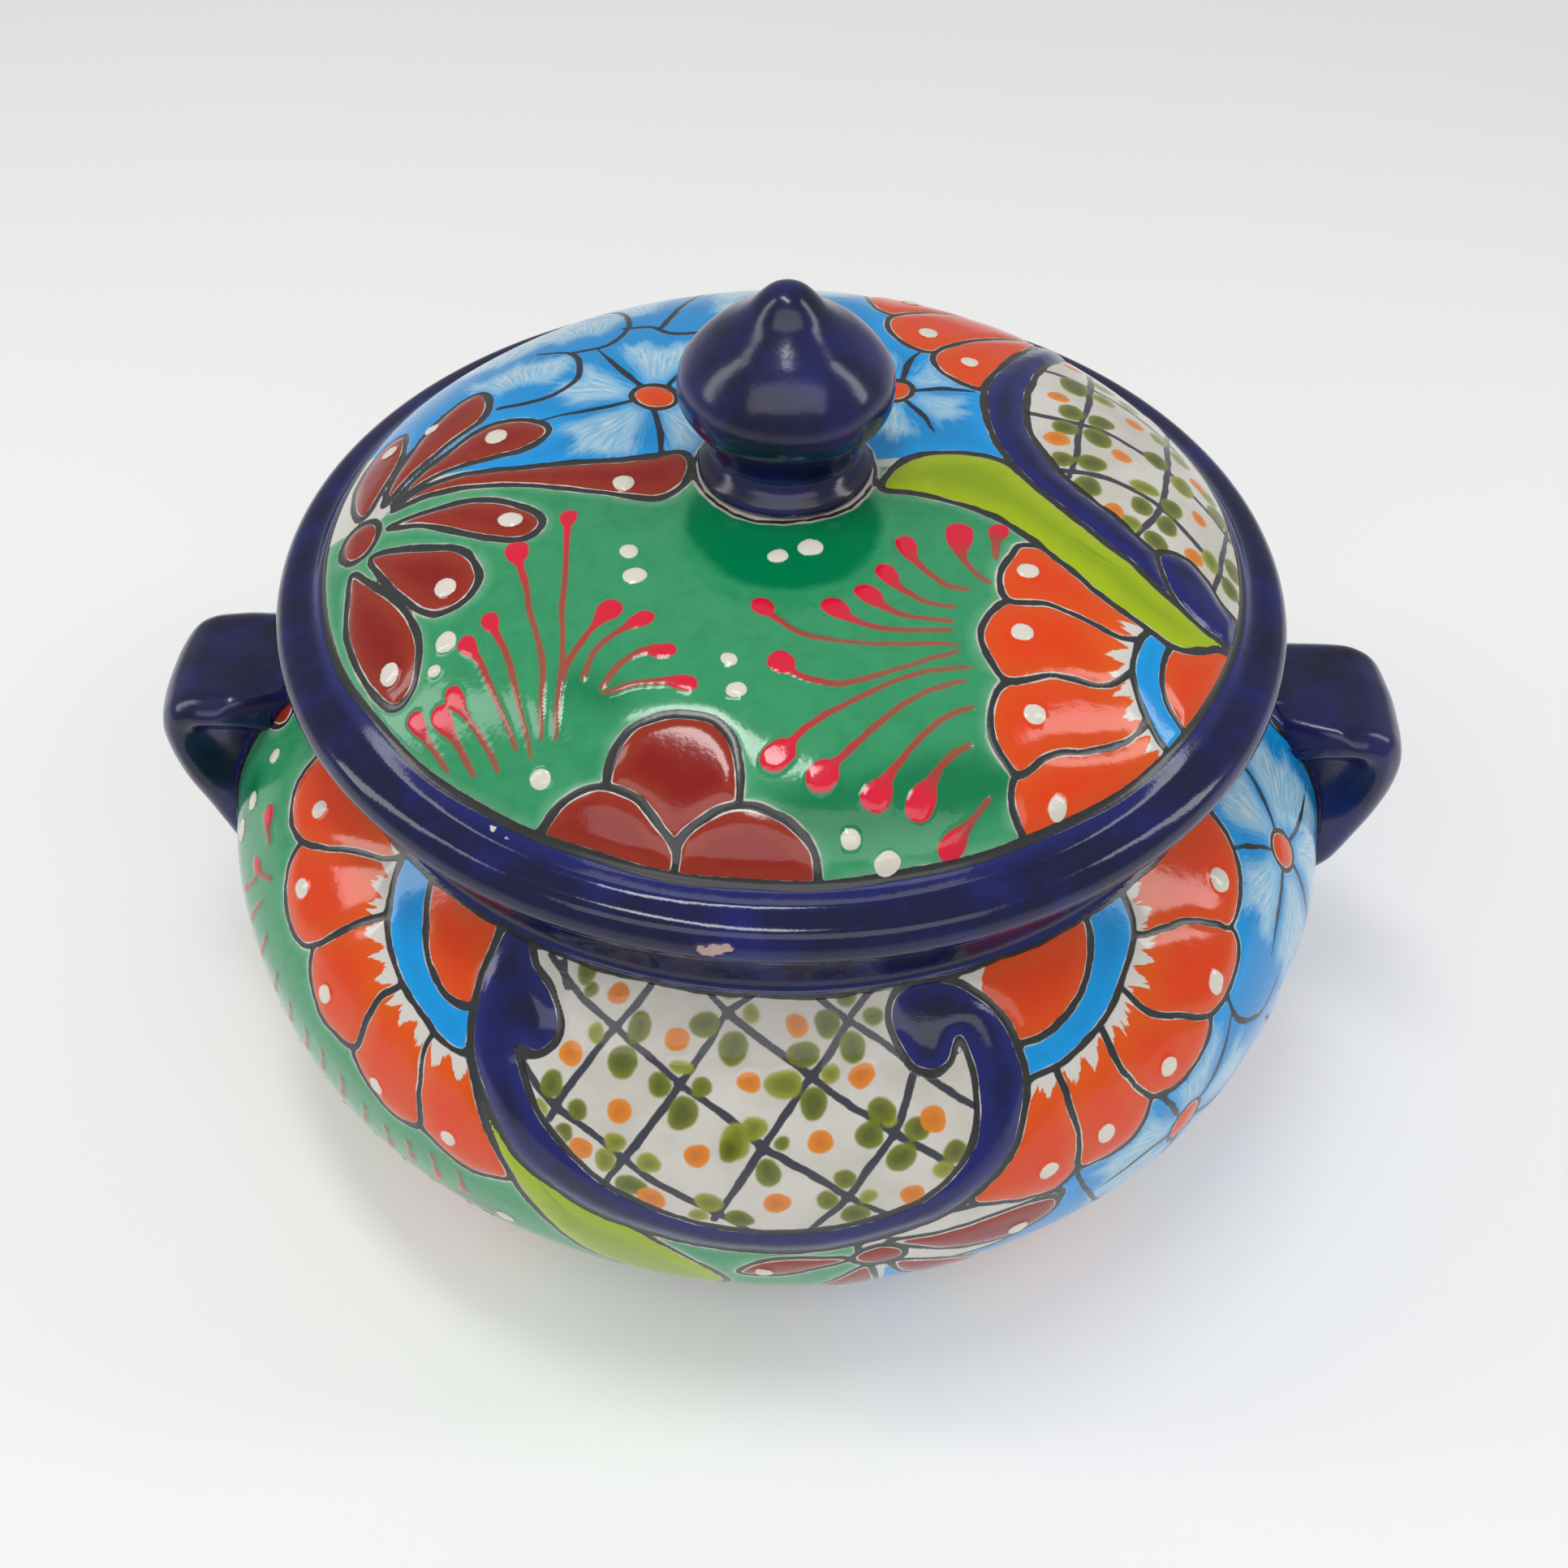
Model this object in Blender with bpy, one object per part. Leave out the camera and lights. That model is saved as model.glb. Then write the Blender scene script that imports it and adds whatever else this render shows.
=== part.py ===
"""A lidded earthenware pot: a squat globe with two lug handles and a domed lid with a turned knob.

Metres, +Z up. The origin is on the table under the middle of the pot, the lugs point along X, and
the pot's painted front faces -Y.
"""
import math

import bmesh
import bpy
from mathutils import Vector

TURN_STEPS = 64            # facets around each turned piece
GAP = 0.0003               # clearance between pieces that touch
POT_AXIS = (0.0, 0.0, 0.0)

# Pot: heights above the table
BELLY_RADIUS = 0.1379
BELLY_HEIGHT = 0.0740
LOWER_DEPTH = 0.0872       # belly height down to where the lower curve would close
LOWER_ROUND = 2.5
LOWER_FULL = 1.6
SHOULDER_DEPTH = 0.0700    # the same, upwards, for the shoulder
COLLAR_RADIUS = 0.1062
COLLAR_BASE = 0.1184
COLLAR_TOP = 0.1366
COLLAR_EDGE = 0.0016
MOUTH_RADIUS = 0.0980
POT_WALL = 0.0070
FOOT_RADIUS = 0.0740
FOOT_INNER_RADIUS = 0.0620
FOOT_HEIGHT = 0.0050
FOOT_RECESS = 0.0030
FLOOR_HEIGHT = 0.0105

# Lid: a rolled rim, a flat-topped dome and a locating flange below
RIM_HEIGHT = 0.1420        # the middle of the rolled rim
RIM_RADIUS = 0.1180
RIM_ROLL = 0.0051
DOME_RADIUS = 0.1083
DOME_EDGE = 0.1486
DOME_RISE = 0.0247
DOME_POWER = 5.0
DOME_WALL_RADIUS = 0.1010
DOME_WALL_EDGE = 0.1415
DOME_WALL_RISE = 0.0253
FLANGE_RADIUS = 0.0955
FLANGE_INNER_RADIUS = 0.0895
FLANGE_BOTTOM = 0.1275
FLANGE_EDGE = 0.0015
LID_LIFT_AXIS = (0.0, 0.0, RIM_HEIGHT)

# Knob: radii and heights of its turned outline
KNOB_FOOT_RADIUS = 0.0197
KNOB_FOOT_THICK = 0.0030
KNOB_NECK_RADIUS = 0.0160
KNOB_NECK_HEIGHT = 0.1800
KNOB_RADIUS = 0.0238
KNOB_WIDEST = 0.1945
KNOB_TOP = 0.2199
KNOB_CAP = (               # radius and height from the widest ring up to the small round tip
    (0.0238, 0.1966), (0.0233, 0.1990), (0.0222, 0.2012), (0.0205, 0.2036), (0.0184, 0.2060),
    (0.0160, 0.2082), (0.0135, 0.2101), (0.0110, 0.2120), (0.0088, 0.2139), (0.0070, 0.2159),
    (0.0055, 0.2175), (0.0039, 0.2188), (0.0020, 0.2196),
)
KNOB_STEPS = 48

# Lugs: each is a solid ear, with a finger hollow in its front and its back face
LUG_HALF_WIDTH = 0.0205
LUG_LOW = 0.0560
LUG_ROOT = 0.1000          # inside the pot, before the pot's shape is cut away
LUG_ROUND = 0.0070         # rounding of the front and back edges
LUG_CROWN = 0.0036         # how much less the ear reaches at its ends than in its middle
LUG_CROWN_POWER = 2.4
LUG_SECTIONS = (0.0, 0.3, 0.55, 0.72, 0.84, 0.93, 0.98, 1.0)
LEFT_LUG_TOP, LEFT_LUG_REACH = 0.1123, 0.1538
RIGHT_LUG_TOP, RIGHT_LUG_REACH = 0.1093, 0.1558
HOLLOW_DEPTH = 0.0070
HOLLOW_RADIUS = 0.0112
HOLLOW_IN = 0.0165         # from the lug's outermost point to the middle of the hollow
HOLLOW_DROP = 0.0132       # from the lug's top to the middle of the hollow

CLEAR_GLAZE_ROUGHNESS = 0.12


def clear_scene():
    for obj in list(bpy.data.objects):
        bpy.data.objects.remove(obj, do_unlink=True)


def glaze(name, colour):
    """A glazed-clay material with one base colour."""
    material = bpy.data.materials.new(name)
    material.use_nodes = True
    shader = material.node_tree.nodes["Principled BSDF"]
    shader.inputs["Base Color"].default_value = (*colour, 1.0)
    shader.inputs["Roughness"].default_value = CLEAR_GLAZE_ROUGHNESS
    shader.inputs["Metallic"].default_value = 0.0
    return material


def smooth(obj, sharp_angle=35.0):
    obj.data.shade_smooth()
    obj.data.set_sharp_from_angle(angle=math.radians(sharp_angle))


def object_from(name, mesh_data, material, parent):
    mesh = bpy.data.meshes.new(name)
    bmesh.ops.recalc_face_normals(mesh_data, faces=mesh_data.faces)
    mesh_data.to_mesh(mesh)
    mesh_data.free()
    obj = bpy.data.objects.new(name, mesh)
    bpy.context.scene.collection.objects.link(obj)
    mesh.materials.append(material)
    obj.parent = parent
    return obj


def turned(name, outline, material, parent, steps=TURN_STEPS):
    """A closed turned body from an outline of (radius, height) points, both ends on the axis.

    Heights are above the table. The object's origin is its parent's.
    """
    mesh = bmesh.new()
    base = parent.location.z
    ring = [mesh.verts.new((radius, 0.0, height - base)) for radius, height in outline]
    edges = [mesh.edges.new(pair) for pair in zip(ring, ring[1:])]
    bmesh.ops.spin(
        mesh, geom=ring + edges, cent=(0.0, 0.0, 0.0), axis=(0.0, 0.0, 1.0),
        angle=2.0 * math.pi, steps=steps, use_merge=True,
    )
    bmesh.ops.remove_doubles(mesh, verts=mesh.verts, dist=1e-6)
    return object_from(name, mesh, material, parent)


def lower_radius(height, inset=0.0):
    """The belly's radius below its widest point."""
    share = (BELLY_HEIGHT - height) / (LOWER_DEPTH - inset)
    return (BELLY_RADIUS - inset) * max(0.0, 1.0 - share ** LOWER_ROUND) ** (1.0 / LOWER_FULL)


def shoulder_radius(height, inset=0.0):
    """The shoulder's radius above the widest point."""
    share = (height - BELLY_HEIGHT) / (SHOULDER_DEPTH - inset)
    return (BELLY_RADIUS - inset) * math.sqrt(max(0.0, 1.0 - share ** 2))


def spaced(start, end, count):
    """count values from start to end, the ends included."""
    return [start + (end - start) * i / (count - 1) for i in range(count)]


def globe_wall(bottom, top, inset=0.0, below=11, above=9):
    """(radius, height) points up the globe, set in from the outer face by inset."""
    points = []
    for turn in spaced(1.0, 0.0, below):
        height = BELLY_HEIGHT - (BELLY_HEIGHT - bottom) * math.sin(0.5 * math.pi * turn)
        points.append((lower_radius(height, inset), height))
    for turn in spaced(0.0, 1.0, above)[1:]:
        height = BELLY_HEIGHT + (top - BELLY_HEIGHT) * turn
        points.append((shoulder_radius(height, inset), height))
    return points


def pot_outline():
    """From the middle of the underside, up the outside, over the mouth and down to the floor."""
    underside = [
        (0.0, FOOT_RECESS), (FOOT_INNER_RADIUS - 0.002, FOOT_RECESS),
        (FOOT_INNER_RADIUS, 0.0), (FOOT_RADIUS - 0.001, 0.0),
        (FOOT_RADIUS, 0.001), (FOOT_RADIUS + 0.001, FOOT_HEIGHT - 0.001),
    ]
    outside = globe_wall(FOOT_HEIGHT, COLLAR_BASE)
    collar = [
        (COLLAR_RADIUS, COLLAR_BASE + 0.002), (COLLAR_RADIUS, COLLAR_TOP - COLLAR_EDGE),
        (COLLAR_RADIUS - 0.3 * COLLAR_EDGE, COLLAR_TOP - 0.3 * COLLAR_EDGE),
        (COLLAR_RADIUS - COLLAR_EDGE, COLLAR_TOP),
        (MOUTH_RADIUS + COLLAR_EDGE, COLLAR_TOP),
        (MOUTH_RADIUS, COLLAR_TOP - COLLAR_EDGE),
    ]
    throat = [(MOUTH_RADIUS, COLLAR_BASE)]
    inside = globe_wall(FLOOR_HEIGHT + 0.006, COLLAR_BASE - 0.006, POT_WALL, below=9, above=6)
    floor = [(0.060, FLOOR_HEIGHT), (0.0, FLOOR_HEIGHT)]
    return underside + outside + collar + throat + inside[::-1] + floor


def dome_height(radius, rim_radius, edge, rise):
    return edge + rise * (1.0 - (radius / rim_radius) ** DOME_POWER)


def lid_outline():
    """From the top of the dome, out over the rolled rim, under it and back up inside."""
    over = []
    for radius in (0.0, 0.024, 0.042, 0.056, 0.066, 0.075, 0.083, 0.090, 0.096, 0.102, DOME_RADIUS):
        over.append((radius, dome_height(radius, DOME_RADIUS, DOME_EDGE, DOME_RISE)))
    roll = []
    middle = RIM_RADIUS - RIM_ROLL
    for angle in spaced(80.0, -90.0, 9):
        turn = math.radians(angle)
        roll.append((middle + RIM_ROLL * math.cos(turn), RIM_HEIGHT + RIM_ROLL * math.sin(turn)))
    seat = RIM_HEIGHT - RIM_ROLL
    flange = [
        (FLANGE_RADIUS + 0.001, seat), (FLANGE_RADIUS, seat - 0.001),
        (FLANGE_RADIUS, FLANGE_BOTTOM + FLANGE_EDGE),
        (FLANGE_RADIUS - FLANGE_EDGE, FLANGE_BOTTOM),
        (FLANGE_INNER_RADIUS + FLANGE_EDGE, FLANGE_BOTTOM),
        (FLANGE_INNER_RADIUS, FLANGE_BOTTOM + FLANGE_EDGE),
    ]
    under = []
    for radius in (FLANGE_INNER_RADIUS, 0.084, 0.077, 0.069, 0.060, 0.048, 0.030, 0.0):
        height = dome_height(radius, DOME_WALL_RADIUS, DOME_WALL_EDGE, DOME_WALL_RISE)
        under.append((radius, height))
    return over + roll + flange + under


def knob_outline():
    """A flared foot, a pinched neck and an onion bulb that runs up to a small round tip."""
    base = dome_height(KNOB_FOOT_RADIUS, DOME_RADIUS, DOME_EDGE, DOME_RISE) + 2.0 * GAP
    foot = [
        (0.0, base), (KNOB_FOOT_RADIUS - 0.001, base),
        (KNOB_FOOT_RADIUS, base + 0.001),
        (KNOB_FOOT_RADIUS - 0.0005, base + 0.6 * KNOB_FOOT_THICK),
        (KNOB_NECK_RADIUS + 0.0012, base + KNOB_FOOT_THICK + 0.0007),
    ]
    swell = []
    for share in spaced(0.0, 1.0, 8):
        height = KNOB_NECK_HEIGHT + (KNOB_WIDEST - KNOB_NECK_HEIGHT) * share
        rise = math.sin(0.5 * math.pi * share) ** 1.3
        swell.append((KNOB_NECK_RADIUS + (KNOB_RADIUS - KNOB_NECK_RADIUS) * rise, height))
    return foot + swell + list(KNOB_CAP) + [(0.0, KNOB_TOP)]


def lug_side(top, reach):
    """The lug's side outline as (reach, height) points, from its root at the top to its low end."""
    return [
        (LUG_ROOT, top + 0.0003), (reach - 0.0230, top + 0.0004), (reach - 0.0110, top + 0.0001),
        (reach - 0.0072, top - 0.0006), (reach - 0.0041, top - 0.0019), (reach - 0.0019, top - 0.0042),
        (reach - 0.0006, top - 0.0075), (reach, top - 0.0125), (reach - 0.0008, top - 0.0200),
        (reach - 0.0029, top - 0.0280), (reach - 0.0062, top - 0.0360), (reach - 0.0100, top - 0.0435),
        (reach - 0.0134, LUG_LOW + 0.0060), (reach - 0.0170, LUG_LOW + 0.0022),
        (reach - 0.0225, LUG_LOW), (LUG_ROOT, LUG_LOW),
    ]


def inset_outline(outline, inset):
    """The outline moved inwards, each point along the bisector of its neighbours."""
    moved = []
    for i, (x, z) in enumerate(outline):
        before = outline[max(i - 1, 0)]
        after = outline[min(i + 1, len(outline) - 1)]
        run = Vector((after[0] - before[0], after[1] - before[1])).normalized()
        moved.append((x + inset * run.y, z - inset * run.x))
    return moved


def lug_section(top, reach, share):
    """One slice of the ear, at share of its half width: rounded at its edges and reaching less."""
    past_flat = max(0.0, share * LUG_HALF_WIDTH - (LUG_HALF_WIDTH - LUG_ROUND)) / LUG_ROUND
    inset = LUG_ROUND * (1.0 - math.sqrt(max(0.0, 1.0 - past_flat ** 2)))
    less = LUG_CROWN * share ** LUG_CROWN_POWER
    points = []
    for x, z in inset_outline(lug_side(top, reach), inset):
        weight = min(1.0, max(0.0, (x - LUG_ROOT - 0.015) / (reach - LUG_ROOT - 0.015)))
        points.append((x - less * weight, z))
    return points


def lug_block(name, side, top, reach, material, parent):
    """The ear before it is cut: slices from its front face to its back face, joined up."""
    mesh = bmesh.new()
    shares = [-share for share in reversed(LUG_SECTIONS[1:])] + list(LUG_SECTIONS)
    rings = []
    for share in shares:
        section = lug_section(top, reach, abs(share))
        rings.append([mesh.verts.new((side * x, share * LUG_HALF_WIDTH, z)) for x, z in section])
    for ring, after in zip(rings, rings[1:]):
        for i in range(len(ring)):
            j = (i + 1) % len(ring)
            mesh.faces.new((ring[i], ring[j], after[j], after[i]))
    mesh.faces.new(rings[0])
    mesh.faces.new(rings[-1])
    return object_from(name, mesh, material, parent)


def cutter(obj):
    obj.hide_render = True
    obj.display_type = "WIRE"
    return obj


def cut(obj, tool, name):
    modifier = obj.modifiers.new(name, "BOOLEAN")
    modifier.operation = "DIFFERENCE"
    modifier.solver = "EXACT"
    modifier.object = tool


def pot_envelope(material, parent):
    """The pot's outer shape, grown by the gap, which trims each lug to the pot."""
    outline = [(0.0, 0.0)]
    for radius, height in globe_wall(FOOT_HEIGHT, COLLAR_BASE):
        outline.append((radius + GAP, height))
    outline += [(COLLAR_RADIUS + GAP, COLLAR_BASE + 0.002), (COLLAR_RADIUS + GAP, 0.150), (0.0, 0.150)]
    return cutter(turned("pot_envelope", outline, material, parent))


def hollow(name, side, facing, top, reach, material, parent):
    """A flattened ball that presses the finger hollow into one face of a lug."""
    mesh = bmesh.new()
    bmesh.ops.create_uvsphere(mesh, u_segments=24, v_segments=12, radius=HOLLOW_RADIUS)
    place = Vector((side * (reach - HOLLOW_IN), facing * LUG_HALF_WIDTH, top - HOLLOW_DROP))
    for vert in mesh.verts:
        vert.co.y *= HOLLOW_DEPTH / HOLLOW_RADIUS
        vert.co += place
    return cutter(object_from(name, mesh, material, parent))


def build_lug(name, side, size, material, parent, envelope):
    top, reach = size
    lug = lug_block(name, side, top, reach, material, parent)
    for facing, label in ((-1.0, "front"), (1.0, "back")):
        tool = hollow(f"{name}_{label}_hollow", side, facing, top, reach, material, parent)
        cut(lug, tool, f"{label}_hollow")
    cut(lug, envelope, "pot_face")
    smooth(lug)
    return lug


def empty(name, location):
    obj = bpy.data.objects.new(name, None)
    bpy.context.scene.collection.objects.link(obj)
    obj.location = location
    return obj


def build():
    clear_scene()
    cobalt = (0.011, 0.012, 0.085)
    clay = glaze("pot_glaze", (0.70, 0.66, 0.58))
    pot_frame = empty("pot_frame", POT_AXIS)
    lid_frame = empty("lid_frame", LID_LIFT_AXIS)
    pot = turned("pot_body", pot_outline(), clay, pot_frame)
    smooth(pot)
    envelope = pot_envelope(clay, pot_frame)
    left_size = (LEFT_LUG_TOP, LEFT_LUG_REACH)
    right_size = (RIGHT_LUG_TOP, RIGHT_LUG_REACH)
    build_lug("left_handle", -1.0, left_size, glaze("left_lug_glaze", cobalt), pot_frame, envelope)
    build_lug("right_handle", 1.0, right_size, glaze("right_lug_glaze", cobalt), pot_frame, envelope)
    lid = turned("lid", lid_outline(), glaze("lid_glaze", (0.05, 0.30, 0.13)), lid_frame)
    smooth(lid)
    knob = turned("lid_knob", knob_outline(), glaze("knob_glaze", cobalt), lid_frame, steps=KNOB_STEPS)
    smooth(knob)


build()
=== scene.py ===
"""Looks for the painted lidded pot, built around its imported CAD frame.

Lengths here are millimetres, turned into metres where a mesh is made. A point on the pot's painted
wall is (across, down): across is its angle from the front times the belly's radius, and down is
measured from the collar, stretched so that shapes keep their proportions on the round wall. A point
on the lid is (x, y), measured over the dome from the middle.
"""
import math

import bmesh
import bpy
import numpy as np
from mathutils import Matrix, Vector


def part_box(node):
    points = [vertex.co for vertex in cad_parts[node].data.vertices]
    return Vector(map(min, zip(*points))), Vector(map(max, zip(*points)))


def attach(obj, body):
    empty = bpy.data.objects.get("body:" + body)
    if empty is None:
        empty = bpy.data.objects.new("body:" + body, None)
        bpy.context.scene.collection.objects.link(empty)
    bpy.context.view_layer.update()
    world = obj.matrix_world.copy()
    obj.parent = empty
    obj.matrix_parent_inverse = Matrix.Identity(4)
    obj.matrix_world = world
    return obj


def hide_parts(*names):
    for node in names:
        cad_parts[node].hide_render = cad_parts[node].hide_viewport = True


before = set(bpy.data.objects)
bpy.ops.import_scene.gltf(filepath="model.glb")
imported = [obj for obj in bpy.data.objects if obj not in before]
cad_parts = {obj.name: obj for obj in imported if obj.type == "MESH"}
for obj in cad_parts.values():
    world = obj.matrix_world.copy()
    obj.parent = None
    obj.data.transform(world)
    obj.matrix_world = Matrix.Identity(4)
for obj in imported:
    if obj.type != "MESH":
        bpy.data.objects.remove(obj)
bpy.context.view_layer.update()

MM = 0.001
FAR = 9.0                    # a distance beyond which nothing painted here matters
MARGIN = 6.0                 # how far round a shape its distances are worked out
WIDE_MARGIN = 24.0           # the same for washes and flares, which end further off
BORDER_CLEAR, BORDER_PAINT = 0.85, 0.95      # how far old paint runs in past a border, and new paint out
FEATHER_AT = (0, 1.8, 4.8, 8.5, 30)          # places down a red stroke where its radius is set
FILLS = ("green", "blue", "brown", "orange", "cobalt", "lime", "clay")
LAYERS = ("line", "lattice", "olive", "sage", "amber", "bead", "stroke", "brush", "coat_and_shade", "vein")

# The pot's outline, as in its CAD
BELLY_R, BELLY_Z = 137.9, 74.0
LOWER_DROP, SHOULDER_RISE = 87.2, 70.0       # where its two curves would reach the axis
COLLAR_R, COLLAR_Z, COLLAR_TOP = 106.2, 118.4, 136.6
MOUTH_R, WALL = 98.0, 7.0
FOOT_Z, FLOOR_Z = 5.0, 10.5
HALF_TURN = math.pi * BELLY_R

# The lid's outline
DOME_R, DOME_Z, DOME_RISE = 108.3, 148.6, 24.7
RIM_LINE = 112.2             # the black line between the painting and the rim, over the dome
POT_COLUMNS, LID_COLUMNS, KNOB_COLUMNS = 1080, 1000, 320
MAP_MARGIN = 0.003           # the empty edge of each part of a piece's flat map
POT_LINE, LID_LINE = 0.82, 0.86              # half the width of their black lines
FLOWER_PETALS = 5


# ---------------------------------------------------------------- paths and distances

def smooth_path(points, closed=False, steps=6):
    """A curve through given points."""
    p = np.array(points, float)
    if closed:
        p = np.vstack([p[-1], p, p[0], p[1]])
    else:
        p = np.vstack([2 * p[0] - p[1], p, 2 * p[-1] - p[-2]])
    t = np.linspace(0, 1, steps, endpoint=False)[:, None]
    out = []
    for a, b, c, d in zip(p, p[1:], p[2:], p[3:]):
        out.append(0.5 * (2 * b + (c - a) * t + (2 * a - 5 * b + 4 * c - d) * t ** 2
                          + (3 * b - a - 3 * c + d) * t ** 3))
    out.append(p[-2][None])
    return np.vstack(out)


def oval(x, y, rx, ry, turn=0.0):
    """An oval outline, turned by degrees."""
    a = np.linspace(0, 2 * math.pi, 25)
    c, s = math.cos(math.radians(turn)), math.sin(math.radians(turn))
    u, v = rx * np.cos(a), ry * np.sin(a)
    return np.stack([x + u * c - v * s, y + u * s + v * c], 1)


def drop(base, tip, width, bend=0.0):
    """A teardrop outline, pointed at its base and widest near its tip."""
    base, tip = np.array(base, float), np.array(tip, float)
    axis = tip - base
    side = np.array([-axis[1], axis[0]]) / np.hypot(*axis)
    share = np.array([0.0, 0.14, 0.34, 0.56, 0.76, 0.92])
    half = 0.5 * width * np.array([0.05, 0.26, 0.60, 0.92, 1.0, 0.66])
    middle = base + share[:, None] * axis + (bend * np.sin(math.pi * share))[:, None] * side
    left = middle + half[:, None] * side
    right = middle - half[:, None] * side
    return smooth_path(np.vstack([left, tip, right[::-1]]), True)


def to_path(px, py, path, radii=None):
    """Distance to a path less its radius there, and how far along it the nearest point is, 0 to 1."""
    a, d = path[:-1], path[1:] - path[:-1]
    size = np.maximum((d ** 2).sum(1), 1e-9)
    t = ((px[:, None] - a[:, 0]) * d[:, 0] + (py[:, None] - a[:, 1]) * d[:, 1]) / size
    t = np.clip(t, 0, 1)
    away = np.hypot(px[:, None] - a[:, 0] - t * d[:, 0], py[:, None] - a[:, 1] - t * d[:, 1])
    if radii is not None:
        away = away - (radii[:-1] + (radii[1:] - radii[:-1]) * t)
    best = away.argmin(1)
    rows = np.arange(len(px))
    return away[rows, best], (best + t[rows, best]) / len(a)


def inside(px, py, path):
    """Which points lie inside a closed path."""
    x0, y0, x1, y1 = path[:-1, 0], path[:-1, 1], path[1:, 0], path[1:, 1]
    spans = (y0 > py[:, None]) != (y1 > py[:, None])
    slope = (x1 - x0) / np.where(y1 == y0, 1e-9, y1 - y0)
    crossed = spans & (px[:, None] < x0 + (py[:, None] - y0) * slope)
    return crossed.sum(1) % 2 == 1


def ripple(place, size, seed):
    """Smooth variation between about -1 and 1 over the surface, the same on each run."""
    draw = np.random.default_rng(seed)
    total = np.zeros(len(place))
    for octave in range(4):
        way = draw.normal(size=3)
        way /= np.linalg.norm(way)
        total += np.sin(place @ way * (2 * math.pi / size) * (1 + 0.4 * octave) + draw.uniform(0, 6))
    return total / 2.2


class Painting:
    """What is painted at each mesh point, as signed distances that are negative where paint lies."""

    def __init__(self, x, y, scale, place, half_line):
        self.x = x + 0.35 * ripple(place, 34, 3) + 0.12 * ripple(place, 9, 4)
        self.y = y + 0.35 * ripple(place, 31, 5) + 0.12 * ripple(place, 8, 6)
        self.scale = scale
        self.half_line = half_line * (1 + 0.16 * ripple(place, 19, 7))
        self.data = {name: np.full(len(x), FAR) for name in FILLS + LAYERS}
        self.data["along"] = np.zeros(len(x))
        self.data["flare"] = np.full(len(x), 3 * FAR)
        self.data["flare_turn"] = np.zeros(len(x))

    def around(self, path, margin=MARGIN):
        """The points in a path's box, widened by margin."""
        low, high = path.min(0) - margin, path.max(0) + margin
        return np.flatnonzero((self.x > low[0]) & (self.x < high[0])
                              & (self.y > low[1]) & (self.y < high[1]))

    def distance(self, path, margin=MARGIN):
        """The points near a closed path, and their signed distances to it."""
        near = self.around(path, margin)
        px, py = self.x[near], self.y[near]
        away = to_path(px, py, path)[0]
        away[inside(px, py, path)] *= -1
        return near, away * self.scale[near]

    def cover(self, paint, path, line=1.0):
        """Paints a closed shape over what is there, with its outline if line is above 0."""
        near, away = self.distance(path)
        self.spread(paint, near, away, line)

    def lay(self, layer, near, away):
        """Adds paint to a layer where away is negative, over what the layer has."""
        self.data[layer][near] = np.minimum(self.data[layer][near], away)

    def clear(self, near, away):
        """Takes off all paint where away is positive."""
        for name in FILLS + LAYERS:
            self.data[name][near] = np.maximum(self.data[name][near], away)

    def shape(self, paint, line, points):
        """Covers the smooth closed shape through given points."""
        self.cover(paint, smooth_path(points, True), line)

    def shapes(self, paint, line, outlines):
        for points in outlines:
            self.shape(paint, line, points)

    def spread(self, paint, near, away, line):
        """Paints over what is there where away, the distance to a shape's edge, is negative."""
        self.clear(near, -away)
        if paint:
            self.lay(paint, near, away)
        if line:
            edge = np.abs(away) - line * self.half_line[near]
            self.lay("line", near, edge)

    def border(self, paint, near, away, half):
        """Lays paint where away is negative, ended by a line of its own with no bare rim beside it."""
        self.clear(near, -away - BORDER_CLEAR)
        self.lay(paint, near, away - BORDER_PAINT)
        self.lay("line", near, np.abs(away) - half)

    def draw(self, layer, points, widths):
        """A brush line whose radius runs through widths along it."""
        path = smooth_path(points)
        share = np.linspace(0, 1, len(path))
        radii = np.interp(share, np.linspace(0, 1, len(widths)), widths)
        near = self.around(path)
        away, along = to_path(self.x[near], self.y[near], path, radii)
        away = away * self.scale[near]
        if layer == "stroke":
            nearer = away < self.data["stroke"][near]
            self.data["along"][near] = np.where(nearer, along, self.data["along"][near])
        self.lay(layer, near, away)

    def spot(self, layer, x, y, rx, ry):
        self.press(layer, oval(x, y, rx, ry))

    def press(self, layer, path):
        """Adds a closed shape to a layer, over what is there."""
        near, away = self.distance(path)
        self.lay(layer, near, away)

    def wash(self, x, y, rx, ry, turn, crisp):
        """A second brushing of darker green, with an edge as crisp as asked; the one at the knob's front is
        painted shade.
        """
        near, away = self.distance(oval(x, y, rx, ry, turn), WIDE_MARGIN)
        self.lay("coat_and_shade", near, crisp * away)

    def beads(self, *spots):
        for x, y, radius in spots:
            self.spot("bead", x, y, radius, radius * (0.93 + 0.14 * math.sin(7 * x + y) ** 2))

    def feather(self, head, tail, radius):
        """A red slip stroke: a round head that narrows quickly to a thin tail through the points of tail."""
        run = np.diff(np.array([head, *tail]), axis=0)
        stations = np.linspace(0, np.hypot(*run.T).sum(), 25)
        radii = (1.12 * radius, 1.1 * radius, 0.60 * radius, 0.92, 0.76)
        widths = np.interp(stations, FEATHER_AT, radii)
        self.draw("stroke", [head, *tail], np.minimum(widths, np.linspace(9, 0.5, 25)))

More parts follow.
